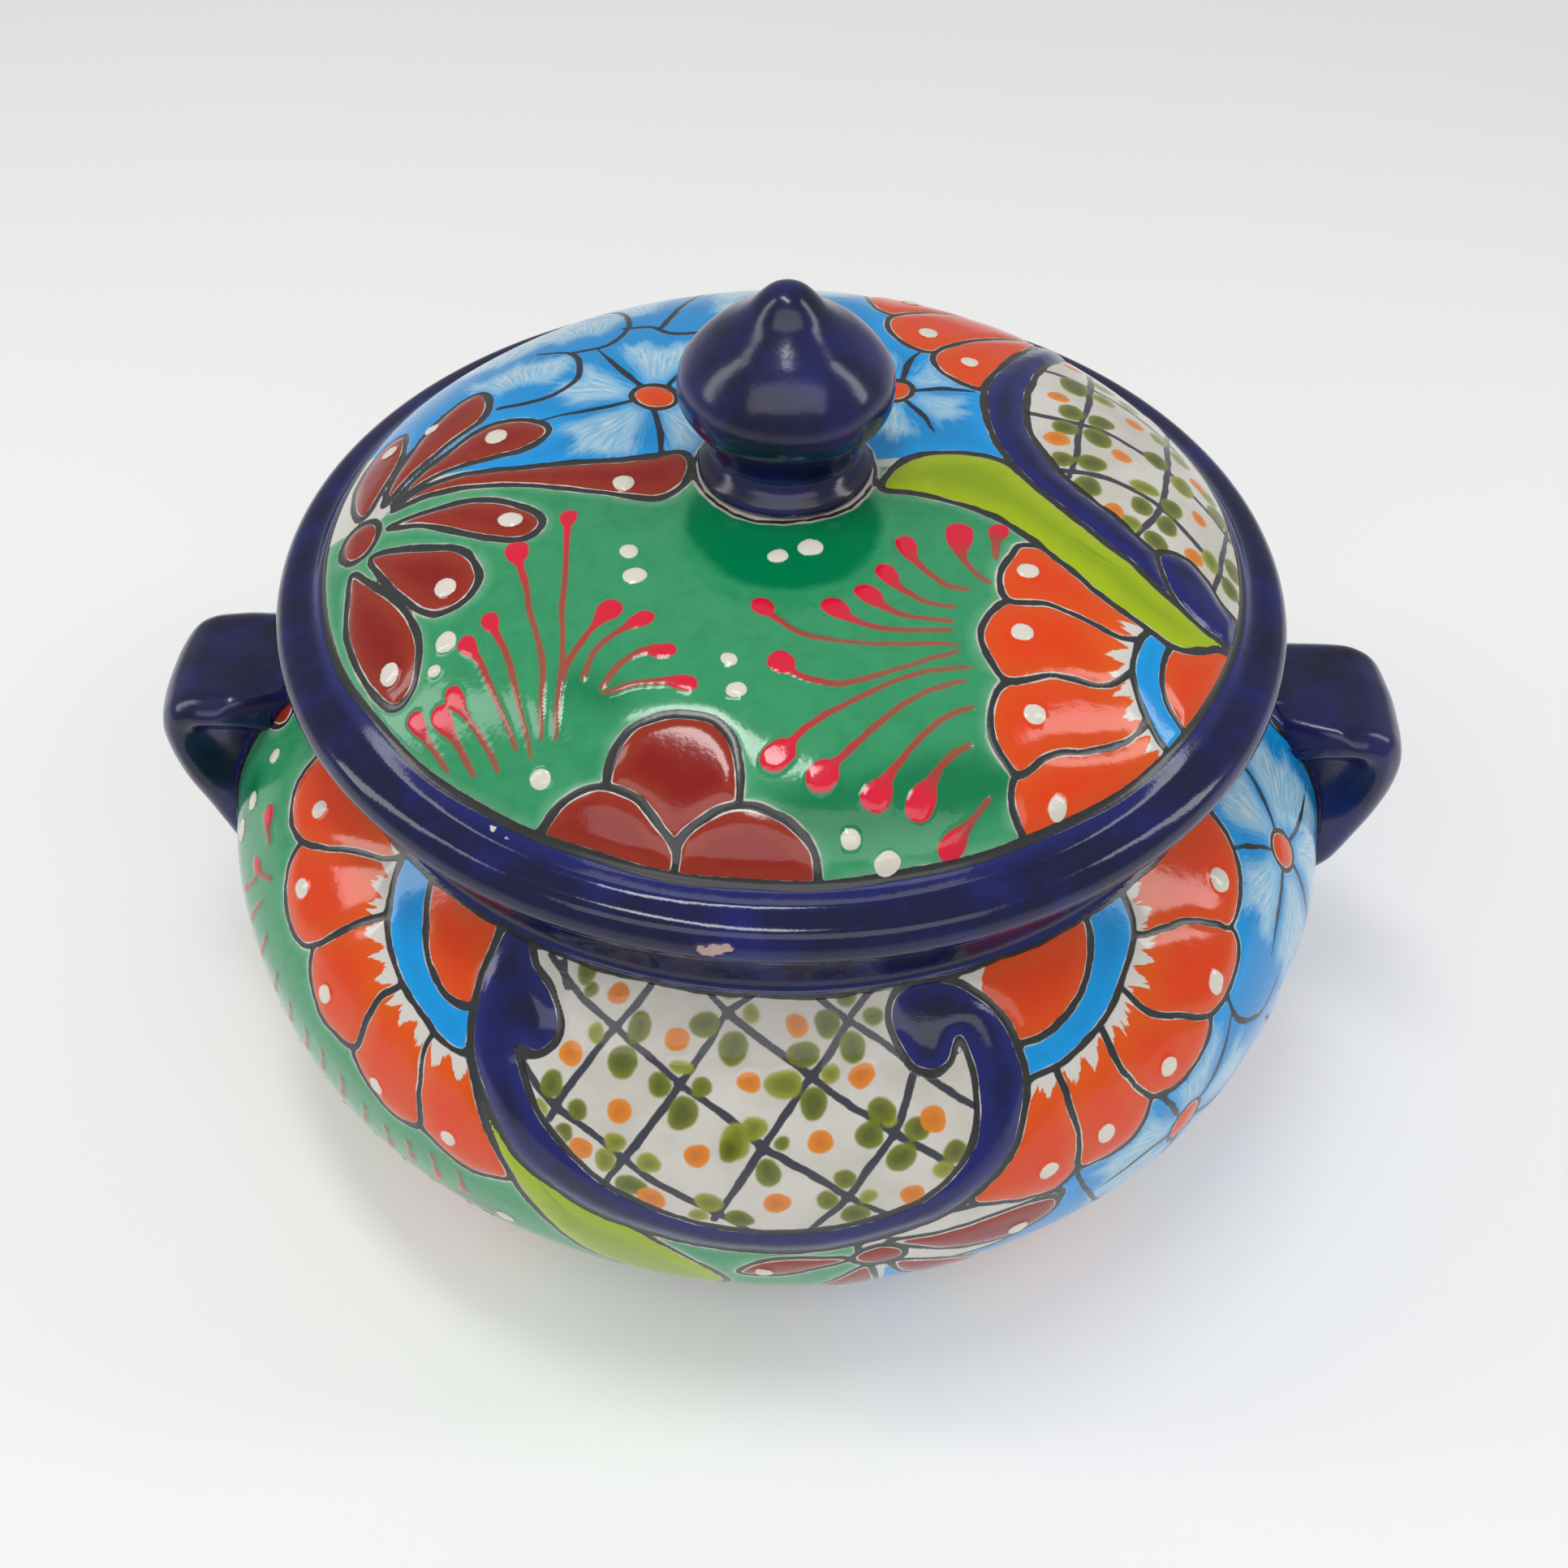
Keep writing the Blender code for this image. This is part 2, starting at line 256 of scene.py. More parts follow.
    def net(self, outline, lines, half, swell, olives, sages, ambers):
        """White ground with crossing brush lines and soft dots, all kept inside outline."""
        near, away = self.distance(outline)
        self.spread(None, near, away, 0.0)
        clip = np.full(len(self.x), FAR)
        clip[near] = away + 0.8
        own = {name: self.data[name] for name in ("lattice", "olive", "sage", "amber")}
        for name in own:
            self.data[name] = np.full(len(self.x), FAR)
        for k, points in enumerate(lines):
            swing = 0.12 * half * math.sin(2.3 * k)
            self.draw("lattice", points, (half - swing, half + swing, 0.9 * half, half, 0.8 * half))
        for name, spots in (("olive", olives), ("sage", sages), ("amber", ambers)):
            for x, y, rx, *ry in spots:
                self.blot(name, x, y, swell * rx, swell * (ry[0] if ry else rx))
        for name, before in own.items():
            self.data[name] = np.minimum(before, np.maximum(self.data[name], clip))

    def blot(self, layer, x, y, rx, ry):
        """A dot pressed with a loaded brush, a little out of round."""
        a = np.linspace(0, 2 * math.pi, 33)
        lump = 1 + 0.04 * np.sin(2 * a + x) + 0.03 * np.sin(3 * a + y)
        self.press(layer, np.stack([x + rx * lump * np.cos(a), y + ry * lump * np.sin(a)], 1))

    def sector(self, centre, core, reach, low, high):
        """A fan of white brush hairs round a flower's centre, between two angles in degrees."""
        a = np.radians(np.linspace(low, high, 13))
        out = reach * (1 + 0.07 * np.sin(11 * a + centre[0]) + 0.05 * np.sin(23 * a + reach))
        out[[0, -1]] *= 0.86
        back = np.radians(np.linspace(high, low, 7))
        x = np.concatenate([out * np.cos(a), core * np.cos(back), out[:1] * np.cos(a[:1])])
        y = np.concatenate([out * np.sin(a), core * np.sin(back), out[:1] * np.sin(a[:1])])
        path = np.stack([x + centre[0], y + centre[1]], 1)
        near, away = self.distance(path)
        self.lay("brush", near, away)
        here = near[away < 3]
        dx, dy = self.x[here] - centre[0], self.y[here] - centre[1]
        self.data["flare"][here] = np.hypot(dx, dy) + 9.0
        self.data["flare_turn"][here] = np.arctan2(dy, dx) * 0.7 * reach

    def ringed(self, ring_outer, ring_inner, middle):
        """The core of a half daisy: a blue ring round an orange middle, and the flare field outside it."""
        self.cover("blue", ring_outer)
        self.cover("orange", ring_inner)
        near, away = self.distance(ring_outer, WIDE_MARGIN)
        turn = np.arctan2(self.y[near] - middle[1], middle[0] - self.x[near])
        nearer = (away < self.data["flare"][near]) & (away > -2.0)
        self.data["flare"][near] = np.where(nearer, away, self.data["flare"][near])
        self.data["flare_turn"][near] = np.where(nearer, turn * 22.0, self.data["flare_turn"][near])


# ---------------------------------------------------------------- the painting on the lid

def paint_lid(art, rho):
    """Everything on the dome, from the ground colours up; rho is the distance from the middle."""
    wavy = rho - RIM_LINE + 0.5 * ripple(np.stack([art.x, art.y, 0 * rho], 1), 60, 11)
    art.data["green"][:] = np.maximum(wavy, art.y - 1.0 - 0.04 * art.x)
    art.data["blue"][:] = np.maximum(wavy, 1.6 - art.y + 0.04 * art.x)

    lid_blue_flowers(art)
    lid_back_petals(art)
    lid_right_daisy(art)
    art.shape("lime", 1.1, [
        (22, -8), (22.5, -3), (27, 3), (35, 6.5), (44, 6), (52, 2), (60, -8), (72, -20), (86, -31),
        (108, -35), (99, -40), (91, -43.8), (84, -44.4), (75, -41), (64, -33), (54.5, -24.5),
        (47, -17), (38, -12), (30, -9.3)])
    art.draw("vein", [(63, -21), (69, -26), (74.5, -29)], (0.3, 0.9, 0.3))
    lid_scroll(art)
    lid_brown_daisy(art)

    art.shape("brown", 1.1, [
        (-35, -94), (-33, -85), (-28, -79), (-20, -77.3), (-12, -80), (-8, -87), (-7.5, -97),
        (-14, -106), (-22, -108), (-30, -104)])
    art.shape("brown", 1.1, [
        (-51, -101), (-44.5, -94.5), (-37, -91.6), (-29, -94.5), (-23.5, -101), (-20.5, -107),
        (-20, -122), (-52, -122), (-58, -108)])
    art.shape("brown", 1.1, [
        (-20.5, -107), (-16, -100.5), (-8, -96.6), (0, -98.3), (6.5, -104), (9, -111), (8, -122),
        (-20, -122)])

    art.beads((-33, -31.5, 2.1), (-31.5, -39.5, 2.7), (-71, -53.5, 2.6), (-73.5, -60, 1.8),
              (-48.7, -89, 2.4), (-10.5, -64, 1.8), (-9, -72, 2.2), (-1, -32, 2.4), (6, -29, 3.0),
              (14.8, -103, 2.2), (23, -107.3, 2.9))
    lid_feathers(art)
    art.cover(None, oval(0, 0, 20.5, 20.5), 0.6)
    # A dark green patch round the front of the knob's foot: painted shade, not paint.
    art.wash(0, -20, 22, 24, 10, 1.0)
    art.wash(28, -93, 26, 8.5, 18, 0.35)
    art.wash(-38, -71, 9, 5, -35, 0.25)
    art.wash(12, -97, 16, 8, 10, 0.3)

    near_rim = np.flatnonzero(rho > RIM_LINE - 7)
    rim_edge = wavy[near_rim]
    for name in FILLS + LAYERS[1:]:
        art.data[name][near_rim] = np.maximum(art.data[name][near_rim], rim_edge)
    art.lay("cobalt", near_rim, -rim_edge)
    art.data["line"][near_rim] = np.minimum(
        np.maximum(art.data["line"][near_rim], rim_edge), np.abs(rim_edge) - 1.15)


def lid_brown_daisy(art):
    """Seven brown drops round a small middle near the lid's left edge, on bare white glaze."""
    art.shape(None, 0, [(-92, -6), (-98, -8), (-106, -6), (-116, -3), (-119, 6), (-112, 30), (-95, 14)])
    petals = (
        [(-99, -5), (-104.5, 4), (-106, 16), (-101, 28), (-94, 27), (-91, 16), (-94, 4)],
        [(-93, -4), (-91, 8), (-87, 20), (-81, 31), (-75, 35), (-71, 29), (-71.5, 21), (-79, 13), (-87, 3)],
        [(-90, -6), (-84, 3), (-77, 11), (-70, 17.5), (-63, 19), (-57, 16.5), (-55, 12), (-59, 6.5),
         (-69, 3.5), (-80, 0)],
        [(-90, -8), (-82, -3.4), (-62, -0.6), (-42, 0.4), (-30, 3), (-24, 4.6), (-21.3, 0), (-22.5, -8),
         (-28, -12.3), (-38, -11.3), (-60, -7.6), (-80, -6.8)],
        [(-90, -13.6), (-80, -12.4), (-68, -12), (-58, -15), (-53, -20.5), (-55, -25.5), (-61, -26.4),
         (-70, -23), (-81, -17)],
        [(-93.5, -21.5), (-80, -24.5), (-70.5, -28), (-65, -36), (-67.5, -43.5), (-74, -45.7),
         (-81, -41), (-88, -32)],
        [(-99.5, -24), (-99.5, -36), (-97, -48), (-91.5, -58.5), (-84.5, -65), (-79, -61.5),
         (-77.8, -53), (-81.5, -43.5), (-88, -35), (-94.5, -28.5)],
    )
    art.shapes("brown", 1.1, petals)
    art.cover("brown", oval(-98.7, -13.6, 5.8, 6.6, 25), 1.2)
    art.beads((-85.5, -57, 2.8), (-72.3, -39.3, 2.6), (-60, -20, 2.8), (-36, -7.5, 2.5),
              (-67, 12, 2.7), (-84.5, 23, 2.1), (-96, 20.5, 2.1))


def lid_feathers(art):
    """Two fans of red slip strokes on the green: one at the left, one sweeping in to the right."""
    fans = (
        ((-47.5, -20), ((-46.6, -30), (-46, -45), (-45, -65), (-45.5, -81.5)), 1.8),
        ((-57.5, -30), ((-55.5, -38), (-52.5, -48), (-49, -65), (-48.7, -80.5)), 2.5),
        ((-61, -50), ((-58, -57), (-55, -66), (-51, -84.5)), 1.9),
        ((-66, -55), ((-62.5, -61), (-59, -69), (-54.5, -81.5)), 2.0),
        ((-69, -67), ((-66, -72), (-62, -79), (-58.5, -86)), 2.1),
        ((-72.5, -70.5), ((-69.5, -76), (-66.5, -82), (-64.5, -86)), 2.2),
        ((-79, -70), ((-76, -74.5), (-73.5, -79), (-71, -84)), 1.9),
        ((-36, -49), ((-39.5, -55), (-43.5, -63), (-45, -70), (-45.5, -79)), 2.3),
        ((-29, -52), ((-33.5, -55.5), (-38, -61), (-40.5, -68)), 2.1),
        ((-23, -61.5), ((-28, -61.5), (-33, -65), (-36.5, -70.5)), 1.9),
        ((-18.5, -70.5), ((-24, -69.6), (-30, -69.8), (-36, -71.5)), 1.7),
        ((-4, -48.5), ((-0.5, -53), (6, -57.6), (20, -58.6), (37, -57)), 2.3),
        ((11, -48.3), ((15, -51.8), (22, -54), (29, -54.2), (36, -53.5)), 2.4),
        ((17.5, -43), ((21, -47), (26, -49.8), (31, -50.8), (36, -51)), 2.3),
        ((22, -36), ((24, -40.5), (28, -44), (32, -46), (36.5, -46.5)), 2.1),
        ((27, -27), ((28.5, -32.5), (31.5, -37.5), (35, -40.3), (39.5, -41)), 2.1),
        ((38.4, -22.5), ((38.3, -28), (39, -32.5), (41.5, -36.5), (44.5, -39)), 2.8),
        ((47, -21.3), ((46.2, -25), (45.7, -31)), 2.1),
        ((-0.5, -64), ((4, -68), (12, -69.6), (22, -66), (37.5, -58.5)), 2.4),
        ((-0.5, -87), ((5, -81), (14, -74), (27, -66.5), (40, -62.5)), 3.0),
        ((9, -91), ((12.5, -86.5), (19, -79.5), (27, -72.5), (38.5, -66.3)), 2.9),
        ((19.8, -94.5), ((22.5, -89), (27, -82.5), (32, -77), (39.5, -72.3)), 2.7),
        ((28.8, -95.5), ((30.5, -91), (33, -86.5), (36, -83), (39.3, -80.8)), 2.7),
        ((36, -103), ((38.5, -99), (41, -95), (43.5, -91)), 2.6),
    )
    for head, tail, radius in fans:
        art.feather(head, tail, radius)


def lid_right_daisy(art):
    """Half of an orange daisy, cut off by the rim, its blue ring and middle against the leaf."""
    petals = (
        [(50, -84.5), (48.3, -90), (51, -96.5), (57, -100.5), (70, -100), (98, -78), (90, -68), (80, -66),
         (75, -72), (67, -76), (58, -79.5)],
        [(47.8, -64.5), (43.7, -70), (43.3, -77), (46, -82.5), (50.5, -85.3), (58, -79.5), (67, -76),
         (75, -72), (79.5, -66), (82, -58), (77, -55), (69, -61), (58, -61.5)],
        [(48.5, -43.5), (43.5, -48), (41.7, -53.5), (43.7, -59.5), (47.8, -64.6), (58, -61.5), (69, -61),
         (77, -55), (84, -50), (80, -45), (72, -48), (65, -45.5), (57, -43.3)],
        [(54, -25.5), (49, -29.5), (46.4, -36), (48.3, -43.6), (57, -43.3), (65, -45.5), (72, -48),
         (80, -46), (90, -42), (75, -30)],
    )
    art.shapes("orange", 0.9, petals)
    ring = smooth_path([(79.5, -44), (76.3, -51), (76.3, -58), (80, -66), (86, -70.5), (94, -72.5),
                        (106, -66), (112, -50), (108, -34), (90, -38)], True)
    middle = smooth_path([(86, -44.5), (83.7, -50.5), (83.9, -57), (87, -62), (96, -65.3), (110, -58),
                          (116, -34), (108, -30), (92, -40)], True)
    art.ringed(ring, middle, (98, -52))
    art.beads((52.5, -34, 2.4), (50.5, -52, 2.5), (52.4, -72, 2.6), (59, -91, 2.4))


def lid_scroll(art):
    """The cobalt scroll, and the net of lines and dots between it and the rim."""
    ground = smooth_path([(74, 92), (64, 62), (56, 44), (53, 24), (56, 6), (66, -10), (80, -22),
                          (108, -33), (120, -20), (122, 20), (110, 60), (90, 88)], True)
    lines = (
        [(78, 60), (75, 45), (72, 33), (69.5, 23), (67, 10), (64.5, 1)],
        [(103, 56), (97, 40), (94, 28), (91, 14), (87, 0), (83, -9), (78, -18)],
        [(116, 22), (112, 14), (108, 3), (105, -8), (101, -19), (98, -26)],
        [(60, 49), (68, 48.2), (76, 46), (88, 40), (100, 30)],
        [(57, 25.2), (66, 24.2), (77, 22), (88, 17), (97, 11), (110, 2)],
        [(63, 3.2), (73, 2.6), (82, 0), (90, -5), (99, -12), (110, -20)],
        [(72, 70), (82, 66), (92, 58)],
    )
    olives = (
        (67.5, 28.6, 3.1), (75, 27, 3.2), (65.5, 21, 2.9), (73.5, 19, 3.3), (63.5, 7.6, 2.6),
        (70.5, 7.5, 3.2), (68.5, -1.5, 3.0), (89.5, -1, 2.7, 3.1), (81, -4.5, 2.6, 3), (87.5, -8.2, 2.7, 3),
        (84, -15.4, 2.6, 3), (70.6, 43.5, 3.2, 4.4), (88.6, 18, 2.9, 3.6), (106, 9, 3.4, 3.4),
        (109, -10, 3.2), (106, -17.5, 3), (112, 4, 2.6))
    sages = (
        (83, 3.2, 3.3, 2.4), (78, -12, 2.5), (77.6, 41, 2.7), (94.8, 11.5, 3, 3.6), (100, -13, 2.6, 3.2),
        (98, 27, 3), (92, 32, 2.6), (80, 52, 3), (86, 46, 2.8), (104, 16, 2.8))
    ambers = ((65, 35.4, 2.3), (63, 15.6, 2.7), (78.6, 13.6, 2.3), (73.8, -9, 2.3), (94.5, -15, 2.4),
              (98, 0.8, 2.2), (113.5, -2, 2.5), (85, 34, 2.4), (101, 18, 2.2), (107, 42, 2.5), (73, 60, 2.4),
              (96, 50, 2.4))
    art.net(ground, lines, 0.95, 1.22, olives, sages, ambers)
    art.shape("cobalt", 1.1, [
        (71, 92), (62, 64), (54, 50), (48, 37), (46.5, 24), (48.3, 11), (53, 0), (62, -12), (74, -23.5),
        (87, -32.5), (96, -35.5), (92, -27), (83.5, -20), (74, -11.5), (66, -3), (60, 7), (57, 17),
        (56.4, 27), (58.5, 38), (63, 50), (70, 63), (80, 88)])
    art.shape("cobalt", 1.0, [
        (83.5, -21), (87, -17.8), (92, -17.3), (97.5, -20.5), (103, -25.5), (112, -28), (118, -31),
        (111, -35), (103, -36.7), (94, -35.8), (86.5, -30)])


def lid_back_petals(art):
    """The orange petals of a daisy on the lid's back edge."""
    petals = (
        [(24, 71), (20.5, 78), (20.5, 88), (24, 98), (34, 108), (50, 112), (56, 96), (44, 78), (33, 70)],
        [(35, 50), (28, 54), (24.8, 61), (26.5, 69), (34, 75), (48, 84), (62, 92), (66, 80), (58, 68),
         (46, 58)],
        [(47, 33.5), (40, 37), (35, 44), (36.5, 51), (46, 59), (58, 69), (70, 84), (72, 70), (60, 52),
         (52, 40)],
    )
    art.shapes("orange", 0.9, petals)
    art.cover("blue", oval(66, 100, 14, 11, 30), 1.0)
    art.cover("orange", oval(68, 106, 9, 8, 30), 1.0)
    art.beads((31.5, 84, 2.6), (34.5, 59.5, 2.5), (43.8, 46, 2.3))


def flower(art, centre, rx, ry, reach, start, turn):
    """A small orange-centred flower: fans of white hairs on blue, with dark lines between them."""
    step = 360.0 / FLOWER_PETALS
    for k in range(FLOWER_PETALS):
        middle = start + k * step + 5 * math.sin(3 * k + centre[0])
        size = reach * (1 + 0.08 * math.sin(2 * k + centre[1]))
        art.sector(centre, 1.15 * rx, size, middle - 0.40 * step, middle + 0.40 * step)
    for k in range(FLOWER_PETALS):
        angle = math.radians(start + (k + 0.5) * step + 4 * math.sin(5 * k))
        way = np.array([math.cos(angle), math.sin(angle)])
        side = np.array([-way[1], way[0]])
        points = [centre + way * rx * 1.1, centre + way * reach * 0.6 + side,
                  centre + way * reach * (0.98 + 0.1 * math.sin(7 * k))]
        art.draw("line", points, (0.65, 0.85, 0.3))
    art.cover("orange", oval(*centre, rx, ry, turn), 0.9)


def lid_blue_flowers(art):
    """Two blue flowers at the lid's back, and fans of hairs shut off by arcs behind them."""
    for centre, core, reach, low, high in (
            ((-62, 26), 8, 23, 52, 150), ((-50, 50), 7, 27, 60, 150), ((-33, 62), 8, 33, 88, 140),
            ((-20, 58), 9, 36, 30, 92), ((-78, 42), 8, 26, 40, 120), ((-5, 76), 6, 27, 15, 110)):
        art.sector(centre, core, reach, low, high)
    flower(art, (-31, 26.5), 4.6, 5.8, 26, 20, 56)
    flower(art, (26, 31), 4.0, 4.8, 19, -32, -25)
    arcs = (
        [(-68, 25), (-58, 26.5), (-51, 33), (-50, 41), (-53, 48), (-62, 51.5)],
        [(-53, 48), (-44, 51), (-40, 60), (-41, 70), (-46, 79), (-56, 86)],
        [(-41, 61), (-34, 60.5), (-28, 56), (-20, 57.5), (-12, 64), (-8, 75)],
        [(-31, 60), (-28, 72), (-24, 86), (-22, 100)],
    )
    for arc in arcs:
        art.draw("line", arc, (0.8, 0.75, 0.8, 0.5))


# ---------------------------------------------------------------- the painting on the pot

def paint_pot(art):
    """Everything on the pot's wall but the foot band, from the ground colours up."""
    art.data["green"][:] = np.maximum(art.x - 24.0, 1.0 - art.y)
    art.data["blue"][:] = np.maximum(26.0 - art.x, 1.0 - art.y)
    pot_low_band(art)
    pot_blue_field(art)
    pot_green_field(art)
    pot_left_daisy(art)
    pot_right_daisy(art)
    pot_bottom(art)
    pot_panel(art)
    near = np.flatnonzero(art.y < 9)
    art.border("cobalt", near, ((art.y - 2.0) * art.scale)[near], 0.55)


def pot_panel(art):
    """The white netted panel at the front, held in one long cobalt scroll, with a leaf behind it."""
    art.shape("lime", 1.0, [
        (-75, 24), (-71, 36), (-65, 47), (-59, 57), (-54, 67), (-47, 79), (-37, 90), (-25, 97),
        (-13, 98), (-9.5, 90), (-13, 81), (-20, 73), (-29, 66), (-42, 59), (-55, 50), (-66, 38)])
    art.draw("vein", [(-52, 57), (-46, 65), (-39.5, 71.5)], (0.4, 1.0, 0.4))
    ground = smooth_path([(-66, -4), (-62, 10), (-60, 20), (-60, 31), (-48, 44), (-30, 57), (0, 65),
                          (30, 60), (46, 48), (51, 34), (48, 22), (38, 24), (30, 12), (33, -4)], True)
    lines = (
        [(-62, 3), (-48.6, 10.7), (-38.6, 15.7), (-30, 20), (-22, 25), (-11.4, 31.4), (-1.4, 38.3),
         (8.6, 45), (17, 51.4), (27, 59)],
        [(-18, 1), (-11.4, 7), (-4.3, 12), (2.9, 17), (9.3, 21.7), (18.6, 29.3), (27, 36), (35.7, 43.6),
         (41, 50)],
        [(10, 0), (19.3, 8.9), (28.6, 16.4), (34, 22), (39.3, 27), (48, 35.5)],
        [(-60, 29.5), (-52.9, 34.3), (-44.3, 38.6), (-31.4, 45), (-24.3, 49.3), (-11.4, 55.7), (-4, 61.5)],
        [(-32.4, 2), (-35.7, 9.3), (-40, 17), (-45, 27), (-48.6, 37), (-51.2, 44)],
        [(-2.5, 0), (-11.4, 7.1), (-15, 15), (-21.4, 25.7), (-27, 36.4), (-32, 45.7), (-35.5, 53)],
        [(27.5, 0.5), (19.3, 8.9), (12.9, 17.9), (8.6, 22.9), (2.9, 30.7), (-1.4, 38.3), (-6.4, 47),
         (-12, 58)],
        [(33.8, 24), (30.7, 32), (26.4, 37.9), (22, 43.6), (17, 51.4), (12.9, 56.4), (8, 61.5)],
        [(-57.5, 3.5), (-55.7, 7), (-54.2, 9.5)],
    )
    olives = (
        (-50.7, 3.2, 2.9, 3.8), (-48, 7.6, 2, 2.4), (-33, 13.8, 3.2, 3.9), (-35.4, 22.9, 3.7, 4.1),
        (-16.8, 10.4, 3.8, 3.5), (-9.3, 15.6, 3.6, 4.2), (-11, 1.4, 2.8, 2.2), (13.7, 9, 3.3, 4.1),
        (19.5, 15.5, 3.3, 4.1), (7.4, 16.5, 4, 3.4), (9.8, 28, 3.4, 4), (19.3, 2.6, 3, 3),
        (25.7, 8.9, 2.8, 2.5), (-26, 26.4, 2.9, 2.8), (-16.4, 25.5, 2.5, 2.7), (-20, 31.9, 3.6, 3.8),
        (2.7, 37.4, 1.9, 2.1), (-0.4, 44.4, 2.9, 3.3), (25.6, 31.2, 3.3, 3.1), (22, 36.4, 3.3, 3.2),
        (32.9, 36.4, 3, 3.1), (28.6, 42.4, 3.4, 3.4), (40.5, 44.2, 2.9, 2.9), (-50.7, 32, 3, 3.3),
        (-43.4, 35.9, 2.4, 2.8), (-46, 42.8, 2.4, 2.7), (-29.4, 51.5, 3.6, 3), (-6.4, 57, 3.2, 2.6),
        (16.4, 46.8, 2.6, 2.4), (12.5, 52, 2.5, 2.5), (18.6, 56.6, 3.2, 2.9), (-8.6, 39.4, 2.6, 2.8))
    sages = (
        (-43.6, 17.9, 2.3, 2.8), (-5.3, 7, 2.5, 2.9), (14.1, 21.5, 2.4, 2.7), (2.8, 23.6, 4.6, 3.5),
        (-21.2, 21.6, 3.2, 1.8), (-3.8, 34.2, 3, 3), (-7.6, 37.6, 3.6, 4), (37.7, 47.8, 2.5, 2.2),
        (-52.2, 38.5, 2.2, 2.4), (-33.9, 41.3, 2.8, 2.4), (-35.7, 46.5, 2.4, 3.2), (-26, 44.6, 2.9, 2.7),
        (-12.8, 52.8, 3.3, 2.7), (-15.2, 57, 2.4, 1.9), (21.4, 51.6, 2.2, 2.3), (27, 33.8, 2, 1.6))
    ambers = (
        (-40.7, 6.9, 2.9), (-48.7, 24.2, 2.9), (-34, 34.2, 2.8), (-22.9, 15, 3), (-5.3, 23.6, 2.7),
        (-15.8, 41.3, 2.8), (6, 9.3, 2.9, 3.1), (21.5, 22.5, 3.1), (11, 37.4, 2.9), (37.1, 35, 3, 3.2),
        (-41.7, 45.6, 2.8), (-25, 54.3, 3), (1.7, 52.2, 2.8), (30.8, 52.9, 2.7))
    art.net(ground, lines, 1.05, 1.08, olives, sages, ambers)
    art.shape("cobalt", 1.05, [
        (-77, -3), (-78.3, 9), (-76.5, 21), (-72, 32.5), (-64, 44.5), (-54, 54.8), (-40, 62.3),
        (-20, 67.8), (0, 69.6), (20, 67.6), (36, 62), (47, 54.8), (54, 47), (58.7, 38), (60.5, 28.5),
        (59.4, 19), (56, 11), (50.5, 4.5), (44, 1.4), (38, 1.2), (32, 4), (29.5, 10), (31, 17),
        (34.3, 22.5), (38.8, 24.8), (43.2, 23), (46.3, 18.3), (48, 26), (47.3, 35.5), (44, 44),
        (38, 51.3), (29, 56.8), (15, 60.4), (0, 61.4), (-15, 59.8), (-30, 55.2), (-42, 48.8),
        (-52, 40), (-59.3, 30.5), (-61, 27.6), (-56.3, 26.8), (-53, 22.5), (-53.5, 16.8), (-58, 11),
        (-65, 6.5), (-69.5, 0), (-71, -4)])
    art.draw("line", [(-62.5, 26.8), (-60, 28.2), (-57, 27.6)], (0.5, 0.9, 0.7))


def pot_left_daisy(art):
    """Half of an orange daisy that hangs from the collar at the panel's left."""
    petals = (
        [(-82, 57.5), (-77.5, 62), (-69, 65.3), (-62, 63.5), (-58, 59.5), (-66, 46), (-72, 34), (-77, 26),
         (-83, 30), (-84, 39), (-82.7, 48)],
        [(-104, 50.3), (-100, 56.5), (-93, 61), (-86.5, 61.4), (-81.7, 58.5), (-82.7, 48), (-84, 39),
         (-83, 28), (-96, 24), (-100.5, 34), (-102.3, 42)],
        [(-126.8, 37.5), (-124.3, 45), (-118, 50.3), (-111, 52), (-103.6, 50.4), (-102.3, 42),
         (-100.5, 34), (-96, 24), (-110, 16), (-117, 23.5), (-122, 31)],
        [(-150.5, 24), (-150, 31), (-145, 37.3), (-138, 41), (-131, 40.8), (-126.4, 37.4), (-122, 31),
         (-117, 23.5), (-110, 14), (-114, 2), (-121, 5.2), (-129.5, 10), (-137, 14.7), (-143.5, 20)],
        [(-174, 4), (-172.7, 13), (-169.5, 20), (-164, 24.2), (-157, 25.9), (-150.5, 24.8),
         (-143.5, 20), (-137, 14.7), (-129.5, 10), (-121, 5.2), (-112, -6), (-150, -8)],
    )
    art.shapes("orange", 0.95, petals)
    ring = smooth_path([(-118.7, -6), (-117.3, 7), (-112.5, 16), (-104.5, 23.6), (-95.5, 28.8),
                        (-86.5, 31.8), (-72, 33), (-70, 10), (-80, -8)], True)
    middle = smooth_path([(-106.5, -6), (-104.3, 6), (-98.5, 14.3), (-91, 21), (-84.5, 24.2),
                          (-76, 22.5), (-78, 12), (-80, 0), (-86, -8)], True)
    art.ringed(ring, middle, (-84, 2))
    art.beads((-154, 15.5, 2.8), (-140, 31.5, 2.6), (-117, 44.5, 2.2), (-95, 56, 2.2), (-73.5, 57, 2.0))


